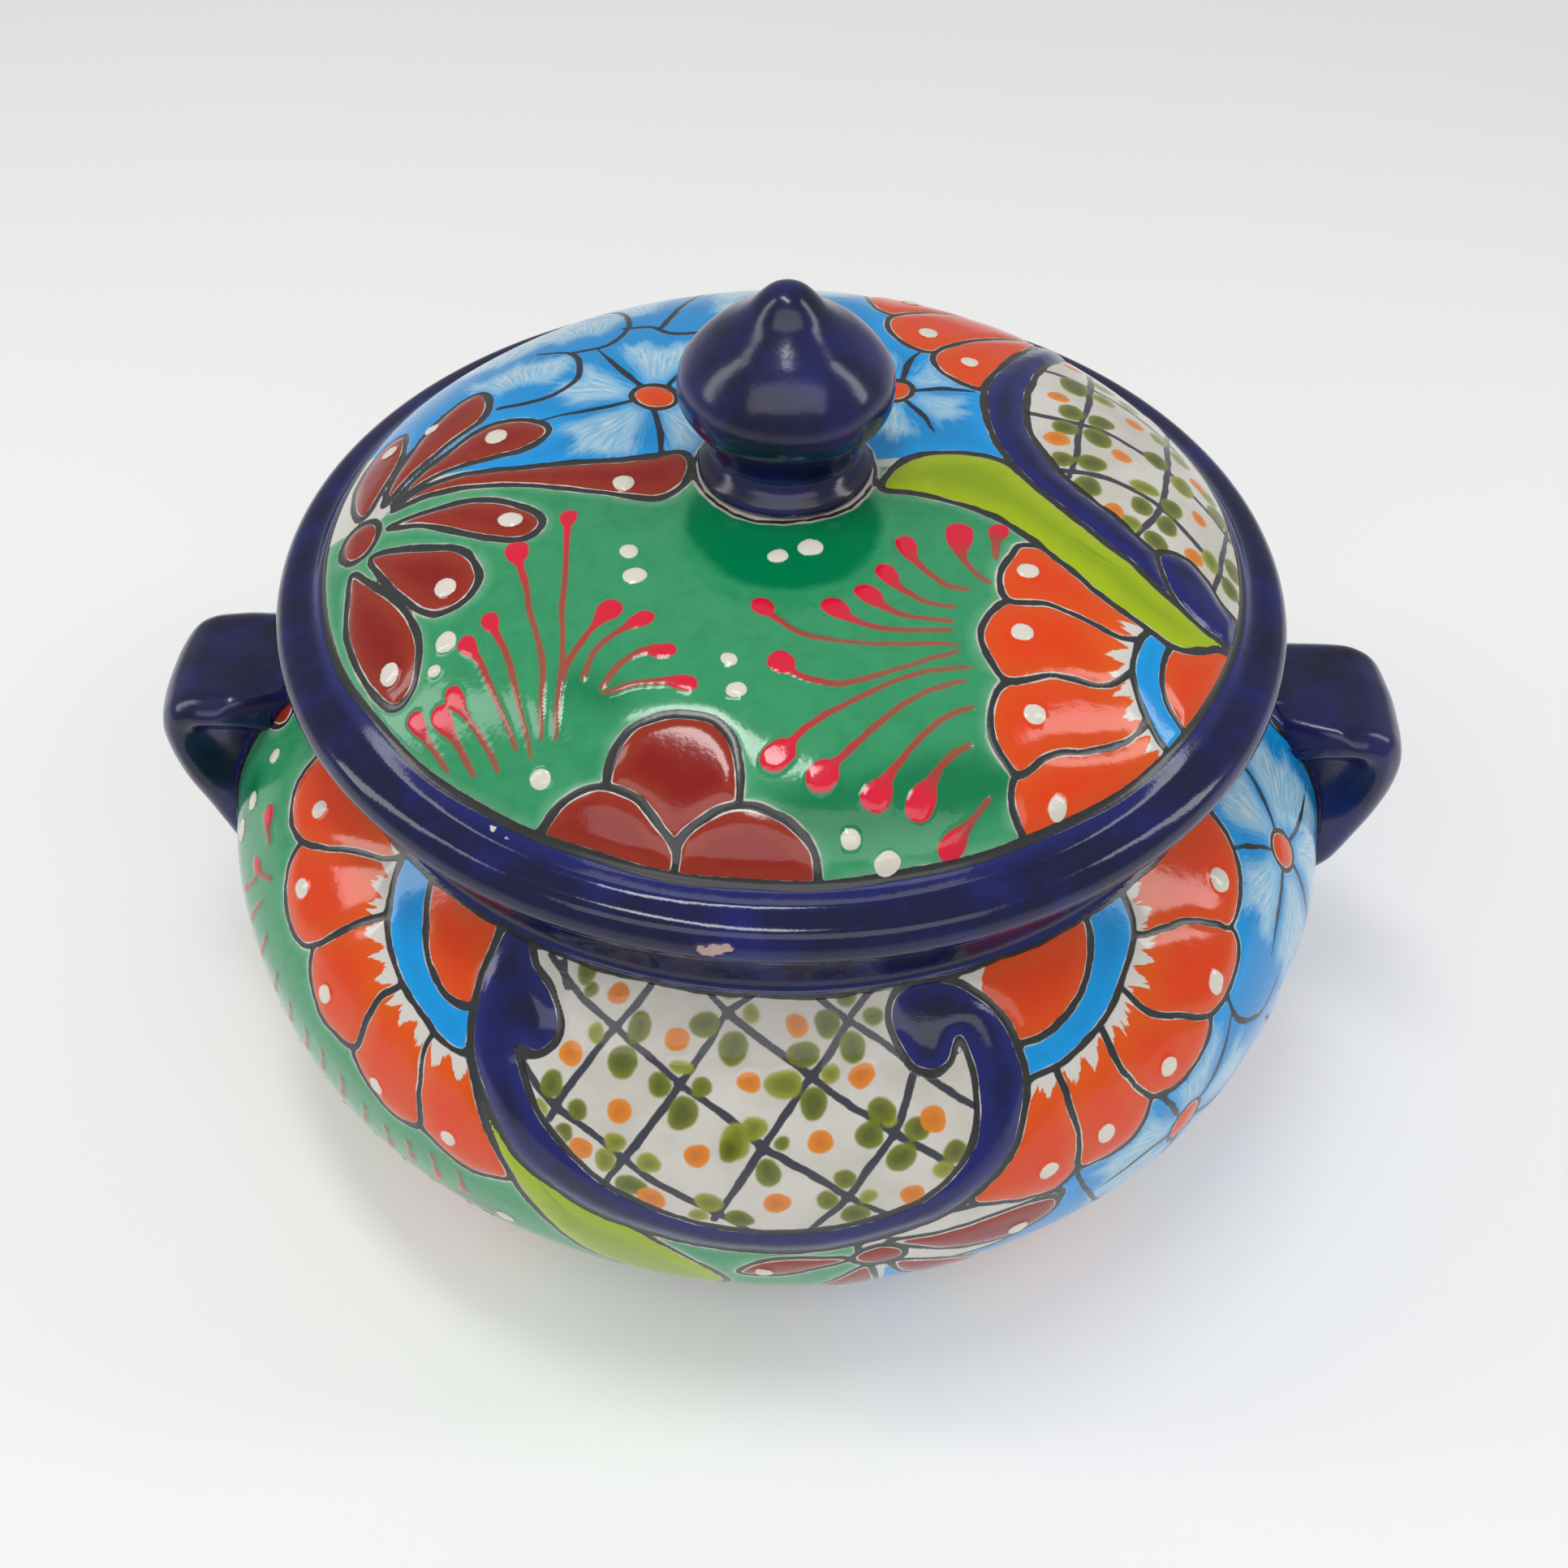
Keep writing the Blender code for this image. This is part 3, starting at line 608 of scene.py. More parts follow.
def pot_right_daisy(art):
    """The same at the panel's right, where the panel's scroll covers its inner end."""
    petals = (
        [(44, 57), (52, 62.8), (61, 66.8), (66.5, 64.6), (69.7, 60), (70, 50), (69, 41), (69, 28),
         (58, 22), (56, 40)],
        [(69.7, 59.5), (74, 61.8), (80, 62), (86, 60), (89.7, 55), (90.3, 50.5), (86, 44), (83.5, 36),
         (82.5, 24), (69, 26), (69, 41), (70, 50)],
        [(90.3, 51), (95, 52.8), (101, 52.8), (107, 50.5), (111, 46.8), (112, 42), (104.5, 37.6),
         (97.5, 33), (94, 28), (92, 18), (82.5, 24), (83.5, 36), (86, 44)],
        [(112, 42), (119, 42), (126, 39), (130.3, 34.5), (131, 29.5), (127, 25.5), (120.5, 20.3),
         (113, 17), (105, 13.5), (98, 10), (92, 18), (94, 28), (97.5, 33), (104.5, 37.6)],
        [(131, 29.5), (139, 27.5), (145.3, 23), (149.5, 16.5), (152, 8), (152, -6), (120, -8),
         (100, -4), (98, 8), (105, 13.5), (113, 17), (120.5, 20.3), (127, 25.5)],
    )
    art.shapes("orange", 0.95, petals)
    ring = smooth_path([(56, 31.6), (63, 31.8), (72, 31), (82, 27.6), (92, 22), (100, 15.6), (105.3, 9),
                        (107.5, 1), (106, -7), (70, -8), (52, 10)], True)
    middle = smooth_path([(48, 24), (61, 23.4), (68, 23.3), (75, 21.6), (82.5, 17.2), (88.5, 11),
                          (92.5, 3), (93, -7), (60, -10), (36, -10), (38, 10)], True)
    art.ringed(ring, middle, (74, 0))
    art.beads((137, 19, 3.2), (118, 36.5, 2.7), (97, 46.5, 2.5), (77, 53, 2.4), (62, 56.5, 2.3))


def pot_green_field(art):
    """Rows of thin red strokes under the left daisy, brown petals by the lug, and dots."""
    for k in range(13):
        share = k / 12.0
        x, y = -160 + 88 * share, 45 + 24 * math.sin(1.75 * share) + 1.5 * math.sin(5 * k)
        lean = 5.5 - 5 * share
        art.feather((x - lean, y + 10 + math.sin(3 * k)), [(x - 0.4 * lean, y + 5), (x, y)], 1.05)
    for k in range(11):
        share = k / 10.0
        x, y = -176 + 100 * share, 68 + 22 * math.sin(1.5 * share) + 1.5 * math.sin(4 * k)
        lean = 6 - 5 * share
        art.feather((x - lean, y + 11), [(x - 0.4 * lean, y + 6), (x, y)], 1.15)
    art.feather((-170, 33), [(-166, 34.5), (-161, 35.5)], 2.4)
    art.feather((-163, 43.5), [(-158, 42.5), (-152, 40)], 1.8)
    art.shapes("brown", 1.0, (
        [(-228, 18), (-212, 16), (-202, 17.5), (-195.5, 22), (-199, 28.5), (-210, 33), (-226, 35)],
        [(-220, 72), (-205, 74), (-194, 82), (-196, 90), (-208, 92), (-222, 84)]))
    art.beads((-181, 39, 2.6), (-179, 48, 2.8), (-194, 64, 2.8), (-186, 27, 2.3), (-203, 83, 2.4),
              (-62, 82, 2.3), (-70, 92, 2.0))
    art.wash(-183, 42, 7, 10, -30, 0.3)
    art.wash(-70, 84, 9, 7, -30, 0.3)


def pot_blue_field(art):
    """Blue flowers, with arcs between them, from the right daisy round to the pot's back."""
    art.sector((196, 30), 2, 22, 96, 224)
    art.sector((82, 66), 3, 19, 10, 120)
    flower(art, (165.5, 33.5), 5.2, 5.8, 29, 118, 20)
    flower(art, (104, 70), 4.6, 6.6, 26, 200, 15)
    flower(art, (150, 84), 4.6, 5.6, 25, 60, 0)
    flower(art, (205, 78), 4.8, 5.6, 26, 20, 0)
    for arc in ([(120, 43), (122, 51), (132, 57), (142, 54)], [(70, 62), (74, 72), (80, 84), (88, 92)],
                [(176, 58), (186, 62), (197, 56), (203, 44), (200, 30)]):
        art.draw("line", arc, (0.6, 0.8, 0.7, 0.4))


def pot_bottom(art):
    """White ground and brown petals under the panel."""
    art.shape(None, 0.9, [(20, 68), (40, 60), (56, 64), (67, 67), (64, 76), (52, 84), (34, 82),
                                 (24, 76)])
    for outline in (
        [(26, 68.5), (36, 67.5), (48, 66.5), (60, 66.4), (66, 69.5), (65.5, 76), (57, 81), (46, 79),
         (35, 73.5)],
        [(-7, 81), (-3, 75.5), (4, 72.2), (15, 72.8), (18, 75), (11, 78), (3, 81.6), (-4, 83)],
        [(28, 79), (36, 80), (46, 87), (53, 96), (52, 104), (44, 105), (36, 96)],
        [(22, 79), (25, 88), (25, 99), (19, 107), (12, 103), (13, 92)],
    ):
        art.shape("brown", 0.9, outline)
    art.cover("brown", oval(24.5, 74.2, 5.8, 4.4, 0), 1.0)
    art.beads((57, 76.5, 2.4), (-1, 79.6, 2.2), (47.5, 99, 2.3), (18, 101, 2.2))


def half_daisy(art, x, y, core, ring, reach):
    """An orange half daisy that stands on the low band, petals up, the middle ones laid last."""
    count = 6
    step = math.radians(176.0) / count
    for k in sorted(range(count), key=lambda k: -abs(k - 0.5 * (count - 1))):
        angle = (k + 0.5 - 0.5 * count) * step
        tip = (x + reach * math.sin(angle), y - reach * math.cos(angle))
        art.cover("orange", drop((x, y), tip, 1.22 * step * reach), 0.95)
        art.spot("bead", x + 0.82 * reach * math.sin(angle), y - 0.82 * reach * math.cos(angle), 2.4, 2.6)
    art.ringed(oval(x, y, ring, ring), oval(x, y, core, core), (x, y))


def pot_low_band(art):
    """Half daisies and leaves above the cobalt band at the pot's foot."""
    for x in (-188, -108, 92, 182):
        half_daisy(art, x, 150, 9, 15, 40)
    for x, way in ((-148, 1), (-62, -1), (48, 1), (136, -1)):
        art.cover("lime", drop((x - 4 * way, 152), (x + 12 * way, 112), 17, 4 * way), 1.0)
        art.draw("vein", [(x - 1 * way, 143), (x + 6 * way, 132), (x + 9 * way, 121)], (0.3, 0.9, 0.3))
    for x in (-26, 10):
        art.cover("brown", drop((x, 152), (x - 4, 116), 20, 3), 1.0)
        art.beads((x - 3.6, 121, 2.5))


def pot_foot_band(art):
    """The cobalt band round the foot, which ends in a black line."""
    edge = (146.0 + 0.8 * np.sin(art.x * 0.09) - art.y) * art.scale
    near = np.flatnonzero(art.y > 132)
    art.clear(near, -edge[near])
    art.lay("cobalt", near, edge[near])
    art.lay("line", near, np.abs(edge[near]) - 0.95)


# ---------------------------------------------------------------- meshes

def chain(first, *rest):
    """Sections of rows: the first, then one for each (outline, step), going on from the row before."""
    made = [first]
    for outline, step in rest:
        made.append(resample(np.vstack([made[-1][-1:], outline]), step)[1:])
    return made


def resample(outline, step):
    """(radius, height) points spaced evenly along an outline."""
    p = np.array(outline, float)
    along = np.concatenate([[0], np.cumsum(np.hypot(*np.diff(p, axis=0).T))])
    count = max(2, int(round(along[-1] / step)) + 1)
    at = np.linspace(0, along[-1], count)
    return np.stack([np.interp(at, along, p[:, 0]), np.interp(at, along, p[:, 1])], 1)


def profile_normals(rows):
    """Unit normals of an outline, to the right of its run."""
    d = np.gradient(rows, axis=0)
    n = np.stack([d[:, 1], -d[:, 0]], 1)
    return n / np.maximum(np.hypot(n[:, 0], n[:, 1]), 1e-9)[:, None]


class Turned:
    """A closed turned body: sections of rows, (radius, height), from one end on the axis to the other."""

    def __init__(self, sections, columns, outward):
        rows = np.vstack(sections)
        self.start, self.rows, self.end = rows[0], rows[1:-1], rows[-1]
        self.columns = columns
        self.ends = np.cumsum([len(section) for section in sections])
        self.row_of = np.repeat(np.arange(len(self.rows)) + 1, columns)
        normals = profile_normals(rows)[1:-1] * outward
        turn = -0.5 * math.pi + np.arange(columns) * 2 * math.pi / columns
        self.around = np.tile(turn, len(self.rows))
        self.radius, self.height = np.repeat(self.rows, columns, axis=0).T
        self.normal = np.repeat(normals, columns, axis=0)

    def points(self, lift=0.0):
        """Mesh points, moved along the surface's normal by lift."""
        radius = self.radius + lift * self.normal[:, 0]
        height = self.height + lift * self.normal[:, 1]
        ring = np.stack([radius * np.sin(self.around), -radius * np.cos(self.around), height], 1)
        ends = [[0.0, 0.0, self.start[1]], [0.0, 0.0, self.end[1]]]
        return np.vstack([ring, ends])

    def build(self, name, lift, data, blocks):
        """The mesh, lifted along its normals, with data as its attributes and blocks as its map."""
        count, columns = len(self.rows), self.columns
        grid = np.arange(count * columns).reshape(count, columns)
        after = np.roll(grid, -1, axis=1)
        quads = np.stack([grid[:-1], after[:-1], after[1:], grid[1:]], -1).reshape(-1, 4)
        low, high = count * columns, count * columns + 1
        first = np.stack([np.full(columns, low), after[0], grid[0]], 1)
        last = np.stack([np.full(columns, high), grid[-1], after[-1]], 1)
        points = self.points(lift)
        a, b, c = points[quads[:, 0]], points[quads[:, 1]], points[quads[:, 2]]
        if np.einsum("ij,ij->i", a, np.cross(b, c)).sum() < 0:
            quads, first, last = quads[:, ::-1], first[:, ::-1], last[:, ::-1]
        mesh = bpy.data.meshes.new(name)
        mesh.from_pydata((points * MM).tolist(), [], quads.tolist() + first.tolist() + last.tolist())
        for key, values in data.items():
            layer = mesh.attributes.new(key, "FLOAT", "POINT")
            full = np.concatenate([values, [values[:columns].mean(), values[-columns:].mean()]])
            layer.data.foreach_set("value", full.astype(np.float32))
        self.lay_out(mesh, blocks)
        mesh.shade_smooth()
        obj = bpy.data.objects.new(name, mesh)
        bpy.context.scene.collection.objects.link(obj)
        return obj

    def lay_out(self, mesh, blocks):
        """A flat map of the surface: each block is (last row, low edge, high edge, halves)."""
        corners = np.empty(len(mesh.loops), np.int32)
        mesh.loops.foreach_get("vertex_index", corners)
        face_of = np.empty(len(mesh.polygons), np.int32)
        mesh.polygons.foreach_get("loop_start", face_of)
        faces = np.searchsorted(face_of, np.arange(len(corners)), side="right") - 1
        count, columns = len(self.rows), self.columns
        column = np.where(corners < count * columns, corners % columns, 0)
        face_column = np.where(faces < (count - 1) * columns, faces % columns,
                               (faces - (count - 1) * columns) % columns)
        pole = corners >= count * columns
        column = np.where(pole, face_column, column)
        column = np.where((column == 0) & (face_column == columns - 1), columns, column)
        row = np.where(pole, np.where(corners == count * columns, 0, count + 1),
                       corners // columns + 1)
        whole = np.vstack([self.start, self.rows, self.end])
        along = np.concatenate([[0], np.cumsum(np.hypot(*np.diff(whole, axis=0).T))])
        face_row = np.where(faces < (count - 1) * columns, faces // columns + 1,
                            np.where(faces < count * columns, 0, count))
        u, v = column / columns, np.zeros(len(corners))
        first = 0
        for last, low, high, halves in blocks:
            here = (face_row >= first) & (face_row < last)
            share = (along[row[here]] - along[first]) / (along[last] - along[first])
            half = np.where(face_column[here] >= columns // 2, 1, 0) if halves == 2 else 0
            size = (high - low) / halves
            v[here] = low + size * half + (size - 2 * MAP_MARGIN) * share + MAP_MARGIN
            if halves == 2:
                u[here] = 2 * u[here] - half
            first = last
        layer = mesh.uv_layers.new(name="OFBake")
        flat = np.stack([MAP_MARGIN + (1 - 2 * MAP_MARGIN) * u, v], 1)
        layer.data.foreach_set("uv", flat.astype(np.float32).ravel())


def wall_radius(height, inset=0.0):
    """The globe's radius at a height, or that of a surface inset inside it."""
    height = np.clip(height, FOOT_Z, COLLAR_Z)
    under = np.maximum(0, BELLY_Z - height) / (LOWER_DROP - inset)
    over = np.maximum(0, height - BELLY_Z) / (SHOULDER_RISE - inset)
    low = np.maximum(0, 1 - under ** 2.5) ** 0.625
    high = np.sqrt(np.maximum(0, 1 - over ** 2))
    return (BELLY_R - inset) * np.where(height < BELLY_Z, low, high)


def globe(bottom, top, inset=0.0):
    """The globe's outline from bottom up to top."""
    heights = np.linspace(bottom, top, 500)
    return np.stack([wall_radius(heights, inset), heights], 1)


def pillow(distance, depth, height):
    """A rounded rise that starts inside a painted shape's line and is full at depth."""
    share = np.clip((-distance - 0.9) / depth, 0, 1)
    return height * (1 - (1 - share) ** 2)


def dome(distance, depth, height):
    """A round bead or stroke, full at depth inside its edge."""
    return height * np.sqrt(np.clip(1 - (1 - np.clip(-distance / depth, 0, 1)) ** 2, 0, 1))


def relief(data, scroll_height):
    """How far the glaze and slip stand up, in mm."""
    lift = pillow(data["green"], 2.5, 0.10) + pillow(data["blue"], 2.5, 0.08)
    lift += pillow(data["brown"], 3.0, 0.32) + pillow(data["orange"], 3.5, 0.34)
    lift += pillow(data["lime"], 3.5, 0.30) + pillow(data["cobalt"], 4.0, scroll_height)
    lift += dome(data["bead"], 1.8, 0.55) + dome(data["stroke"], 1.6, 0.36)
    lift += dome(data["amber"], 1.6, 0.16) + dome(np.minimum(data["olive"], data["sage"]), 1.8, 0.10)
    return lift - 0.10 * np.clip(-data["line"] / 0.5, 0, 1)


def pot_sections():
    """The pot's rows: foot, painted wall, collar, lip and inside."""
    foot = [(0, 3), (59.5, 3), (61.0, 2.7), (61.7, 1.6), (62.2, 0.5), (63.4, 0.0), (72.6, 0.0),
            (73.8, 0.4), (74.5, 1.4), (74.9, 3.0), (75.6, 4.1), (77.5, 4.7), (80.5, 4.9)]
    wall = globe(FOOT_Z + 0.4, COLLAR_Z)
    collar = [(COLLAR_R, COLLAR_Z + 1.5), (COLLAR_R, COLLAR_TOP - 1.8), (COLLAR_R - 0.5, COLLAR_TOP - 0.6),
              (COLLAR_R - 1.8, COLLAR_TOP)]
    lip = [(MOUTH_R + 1.8, COLLAR_TOP), (MOUTH_R + 0.5, COLLAR_TOP - 0.6), (MOUTH_R, COLLAR_TOP - 1.8),
           (MOUTH_R, COLLAR_Z + 1.0)]
    floor = [(78, 13.4), (68, 11.2), (60, FLOOR_Z), (30, FLOOR_Z), (0, FLOOR_Z)]
    inside_rows = np.vstack([globe(FLOOR_Z + 6, COLLAR_Z - 6, WALL)[::-1], floor])
    return [resample(foot, 1.9),
            *chain(resample(wall, 0.84), (collar, 0.9), (lip, 1.2), (inside_rows, 3.0))]


def wall_map(body, sections):
    """Each point's (across, down), and the wall's length along its outline."""
    under, outer = sections[:2]
    arc = np.concatenate([[0], np.cumsum(np.hypot(*np.diff(outer[::-1], axis=0).T))])
    middle = 0.5 * (outer[::-1][1:, 0] + outer[::-1][:-1, 0])
    down = np.concatenate([[0], np.cumsum(np.diff(arc) / middle)])[::-1] * BELLY_R
    above = -0.2 * np.arange(1, body.ends[-1] - body.ends[1] + 1) - 1.0
    rows = np.concatenate([np.full(len(under), down[0]), down, above])[1:-1]
    across = (np.mod(body.around + math.pi, 2 * math.pi) - math.pi) * BELLY_R
    behind = np.abs(across) > 0.5 * HALF_TURN
    across = np.where(behind, np.sign(across) * (HALF_TURN - np.abs(across)), across)
    return across, np.repeat(rows, body.columns), arc[-1]


def make_pot():
    sections = pot_sections()
    body = Turned(sections, POT_COLUMNS, 1.0)
    foot_end, wall_end, collar_end = body.ends[:3]
    across, down, wall_length = wall_map(body, sections)
    place = body.points()[:-2]
    art = Painting(across, down, body.radius / BELLY_R, place, POT_LINE)
    paint_pot(art)
    pot_foot_band(art)
    lug_roots(art, place)

    data, row_of = art.data, body.row_of
    on_wall = (row_of >= foot_end) & (row_of < wall_end)
    for name in FILLS + LAYERS:
        data[name] = np.where(on_wall, data[name], FAR)
    below = row_of < foot_end - 4
    foot_side = (row_of < foot_end) & ~below
    collar = (row_of >= wall_end) & (row_of < collar_end + 2)
    data["cobalt"] = np.where(collar | foot_side, -FAR, data["cobalt"])
    data["clay"] = np.where(below, -FAR, data["clay"])
    fade = np.clip((body.height - 8.0) / 12.0, 0, 1) * np.clip((COLLAR_Z - 1 - body.height) / 5.0, 0, 1)
    rise = relief(data, 0.75) + lug_fillet(place) + 0.28 * ripple(place, 120, 21)
    lift = np.where(on_wall, rise * fade, 0.0)
    split = 2 * wall_length / HALF_TURN
    blocks = ((foot_end, 0.955, 1.0, 1), (wall_end, 0.0, split, 2), (collar_end + 2, split, split + 0.1, 1),
              (body.ends[-1] - 1, split + 0.1, 0.955, 1))
    pot = body.build("glazed_pot", lift, data, blocks)
    pot.data.materials.append(PaintedGlaze("pot_painting", CLAY).finish())
    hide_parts("pot_body")
    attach(pot, "pot")


def dome_height(radius):
    return DOME_Z + DOME_RISE * (1.0 - (radius / DOME_R) ** 5)


def lid_sections():
    """The lid's rows: middle, painted dome, rolled rim, seat with its locating ring, and inside."""
    radii = np.linspace(0, DOME_R, 1500)
    top = np.stack([radii, dome_height(radii)], 1)
    centre = [(r, dome_height(r)) for r in (0.0, 4.0, 8.0, 12.0, 15.0)]
    roll = smooth_path([(109.4, 147.6), (110.9, 147.15), (112.7, 147.05), (114.6, 146.7), (116.3, 145.6),
                        (117.5, 143.9), (118.0, 142.0), (117.7, 140.0), (116.6, 138.3), (114.9, 137.2),
                        (112.6, 136.9)])
    seat = [(97.2, 136.9), (95.9, 136.6), (95.5, 135.6), (95.5, 129.4), (95.0, 128.1), (93.9, 127.5),
            (91.1, 127.5), (89.9, 128.1), (89.5, 129.2), (89.5, 152.5)]
    hollow = [(r, 141.5 + 25.3 * (1 - (r / 101.0) ** 5)) for r in np.linspace(89.0, 0.0, 60)]
    return [centre, *chain(resample(top[radii > 16.5], 0.74), (roll, 0.7), (seat, 1.3), (hollow, 3.0))]


def make_lid():
    sections = lid_sections()
    body = Turned(sections, LID_COLUMNS, -1.0)
    dome_end, rim_end, seat_end = body.ends[1:4]
    rows = np.vstack(sections)
    along = np.concatenate([[0], np.cumsum(np.hypot(*np.diff(rows, axis=0).T))])[1:-1]
    rho = np.repeat(along, body.columns)
    place = body.points()[:-2]
    x, y = rho * np.sin(body.around), -rho * np.cos(body.around)
    art = Painting(x, y, np.ones(len(rho)), place, LID_LINE)
    paint_lid(art, rho)

    data, row_of = art.data, body.row_of
    painted = row_of < rim_end
    for name in FILLS + LAYERS:
        data[name] = np.where(painted, data[name], FAR)
    seat_rows = (row_of >= rim_end) & (row_of < seat_end - 12)
    data["clay"] = np.where(seat_rows, -FAR, data["clay"])
    chips(art, place)
    fade = np.clip((RIM_LINE - 1.0 - rho) / 3.0, 0, 1)
    lift = relief(data, 0.7) * fade * (row_of < dome_end)
    lift += np.where(painted, 0.22 * ripple(place, 110, 22), 0.0) * np.clip((114 - body.radius) / 6, 0, 1)
    lift -= 0.35 * np.clip(1 - np.abs(rho - RIM_LINE) / 1.6, 0, 1) * painted
    lift -= 0.5 * dome(data["clay"], 0.8, 1.0) * painted
    size = along[rim_end - 2] / (math.pi * RIM_LINE)
    blocks = ((rim_end, 0.0, size, 2), (seat_end, size, size + 0.09, 1),
              (len(rows) - 1, size + 0.09, 1.0, 1))
    lid = body.build("glazed_lid", lift, data, blocks)
    lid.data.materials.append(PaintedGlaze("lid_painting", LID_CLAY).finish())
    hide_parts("lid")
    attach(lid, "lid_body")


def chips(art, place):
    """A chip that shows the clay on the rolled rim, and two skips in its glaze."""
    spots = (("clay", oval(-12.3, -126.0, 4.0, 1.4, 3)), ("bead", oval(-60.5, -97.0, 1.1, 0.4, -36)),
             ("bead", oval(-57.8, -99.3, 0.5, 0.35, -30)))
    for layer, path in spots:
        near, away = art.distance(path)
        away = away + 0.35 * ripple(place[near], 3.1, 31)
        art.lay(layer, near, away)


def make_knob():
    """The knob as one turned body: a flared foot, a narrow neck, and a bulb drawn up to a point."""
    side = smooth_path([(18.4, 173.0), (19.4, 173.5), (19.7, 174.4), (19.3, 175.5), (18.2, 176.6),
                        (16.9, 177.9), (16.1, 179.3), (16.0, 180.6), (16.6, 182.4), (18.4, 185.0),
                        (20.8, 187.9), (22.9, 191.0), (23.75, 194.0), (23.8, 196.6), (23.3, 199.0),
                        (22.2, 201.2), (20.5, 203.6), (18.4, 206.0), (16.0, 208.2), (13.5, 210.1),
                        (11.0, 212.0), (8.8, 213.9), (7.0, 215.9), (5.5, 217.5), (3.9, 218.8), (2.0, 219.6),
                        (0.8, 219.85)])
    body = Turned([[(0, 173.0), (9, 173.0)], resample(side, 0.45), [(0, 219.9)]], KNOB_COLUMNS, 1.0)
    place = body.points()[:-2]
    near_foot = body.height - 174.3 + 0.25 * ripple(place, 9, 41)
    data = {"clay": np.where(near_foot < 0, near_foot * 2, FAR), "line": np.abs(body.height - 176.2) - 0.5}
    lift = 0.12 * ripple(place, 30, 42) * np.clip((219 - body.height) / 8, 0, 1)
    blocks = ((body.ends[-1] - 1, 0.0, 1.0, 2),)
    knob = body.build("glazed_knob", lift, data, blocks)
    knob.data.materials.append(cobalt_glaze("knob_cobalt", True))
    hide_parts("lid_knob")
    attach(knob, "lid_body")


# ---------------------------------------------------------------- the lugs

LUG_HALF, LUG_LOW, LUG_ROUND = 20.5, 56.0, 7.0       # half width, lower end, edge rounding
LUG_CROWN, LUG_CROWN_POWER = 3.6, 2.4                # how its end bows out, seen from above
LUG_PINCH, LUG_DROOP = 8.5, 9.0                      # how far its root's upper front draws in, and dips
LUGS = {-1: (112.3, 153.8), 1: (109.3, 155.8)}       # each side's top and reach
ROOT_ROUND = 4.0                                     # the corner radius of its root on the wall
DISH_OUT, DISH_DOWN, DISH_DEPTH = 138.0, 12.5, 4.8   # the fingertip dish, from the axis and the lug's top


def pinch_share(place):
    """How much of the pinch a point takes: none low down or on the lug's back half."""
    return np.clip((place[:, 2] - 66.0) / 34.0, 0, 1) * np.clip(-place[:, 1] / 8.0, 0, 1)


def root_distance(place, side):
    """How far a point of the pot's wall is outside the pinched root of the lug on that side."""
    top = LUGS[side][0]
    across = np.abs(place[:, 1]) - LUG_HALF + LUG_PINCH * pinch_share(place) + ROOT_ROUND
    up = np.abs(place[:, 2] - 0.5 * (top + LUG_LOW)) - 0.5 * (top - LUG_LOW) + ROOT_ROUND
    corner = np.hypot(np.maximum(across, 0), np.maximum(up, 0))
    away = corner + np.minimum(np.maximum(across, up), 0) - ROOT_ROUND
    return np.where(place[:, 0] * side > 60, away, 3 * FAR)


def lug_fillet(place):
    """A soft rise of the pot's wall where each lug is luted on."""
    nearest = np.minimum(root_distance(place, -1), root_distance(place, 1))
    return 1.3 * np.exp(-np.maximum(nearest + 0.5, 0) / 1.5)


def lug_roots(art, place):
    """The lug's cobalt runs onto the wall a little way and ends in a black line."""
    for side in LUGS:
        away = root_distance(place, side) - 0.8
        near = np.flatnonzero(away < MARGIN)
        art.border("cobalt", near, away[near], 0.75)


def lug_outline(top, reach):
    """The ear seen from the front: its root inside the wall, then its top, lip and tapering underside."""
    root = [(wall_radius(z) - 6.0, z) for z in np.linspace(LUG_LOW, top, 9)]
    side = [(reach - 23.0, top + 0.4), (reach - 11.0, top + 0.1), (reach - 7.4, top - 0.8),
            (reach - 4.5, top - 2.3), (reach - 2.2, top - 4.9), (reach - 0.7, top - 8.4),
            (reach, top - 13.2), (reach - 0.8, top - 20.0), (reach - 2.9, top - 28.0),
            (reach - 6.2, top - 36.0), (reach - 10.0, top - 43.5), (reach - 13.4, 62.0),
            (reach - 17.0, 58.2), (reach - 20.0, LUG_LOW + 0.6)]
    return np.vstack([root, side])


def lug_slices(top, reach):
    """The ear's outline at steps across its width: rounded at its edges and reaching less there."""
    path = resample(smooth_path(lug_outline(top, reach), True, 5)[:-1], 0.9)
    run = np.roll(path, -1, 0) - np.roll(path, 1, 0)
    run /= np.hypot(*run.T)[:, None]
    inward = np.stack([run[:, 1], -run[:, 0]], 1)
    if inward[path[:, 0].argmax(), 0] > 0:
        inward = -inward
    flat = LUG_HALF - LUG_ROUND
    turn = np.linspace(0, 0.5 * math.pi, 9)
    widths = np.concatenate([np.linspace(0, flat, 9)[:-1], flat + LUG_ROUND * np.sin(turn)])
    insets = np.concatenate([np.zeros(8), LUG_ROUND * (1 - np.cos(turn))])
    slices = []
    for width, inset in zip(widths, insets):
        edge = path + inset * inward
        grip = np.clip((edge[:, 0] - 115.0) / (reach - 115.0), 0, 1)
        edge[:, 0] -= LUG_CROWN * (width / LUG_HALF) ** LUG_CROWN_POWER * grip
        slices.append((width, edge))
    return slices


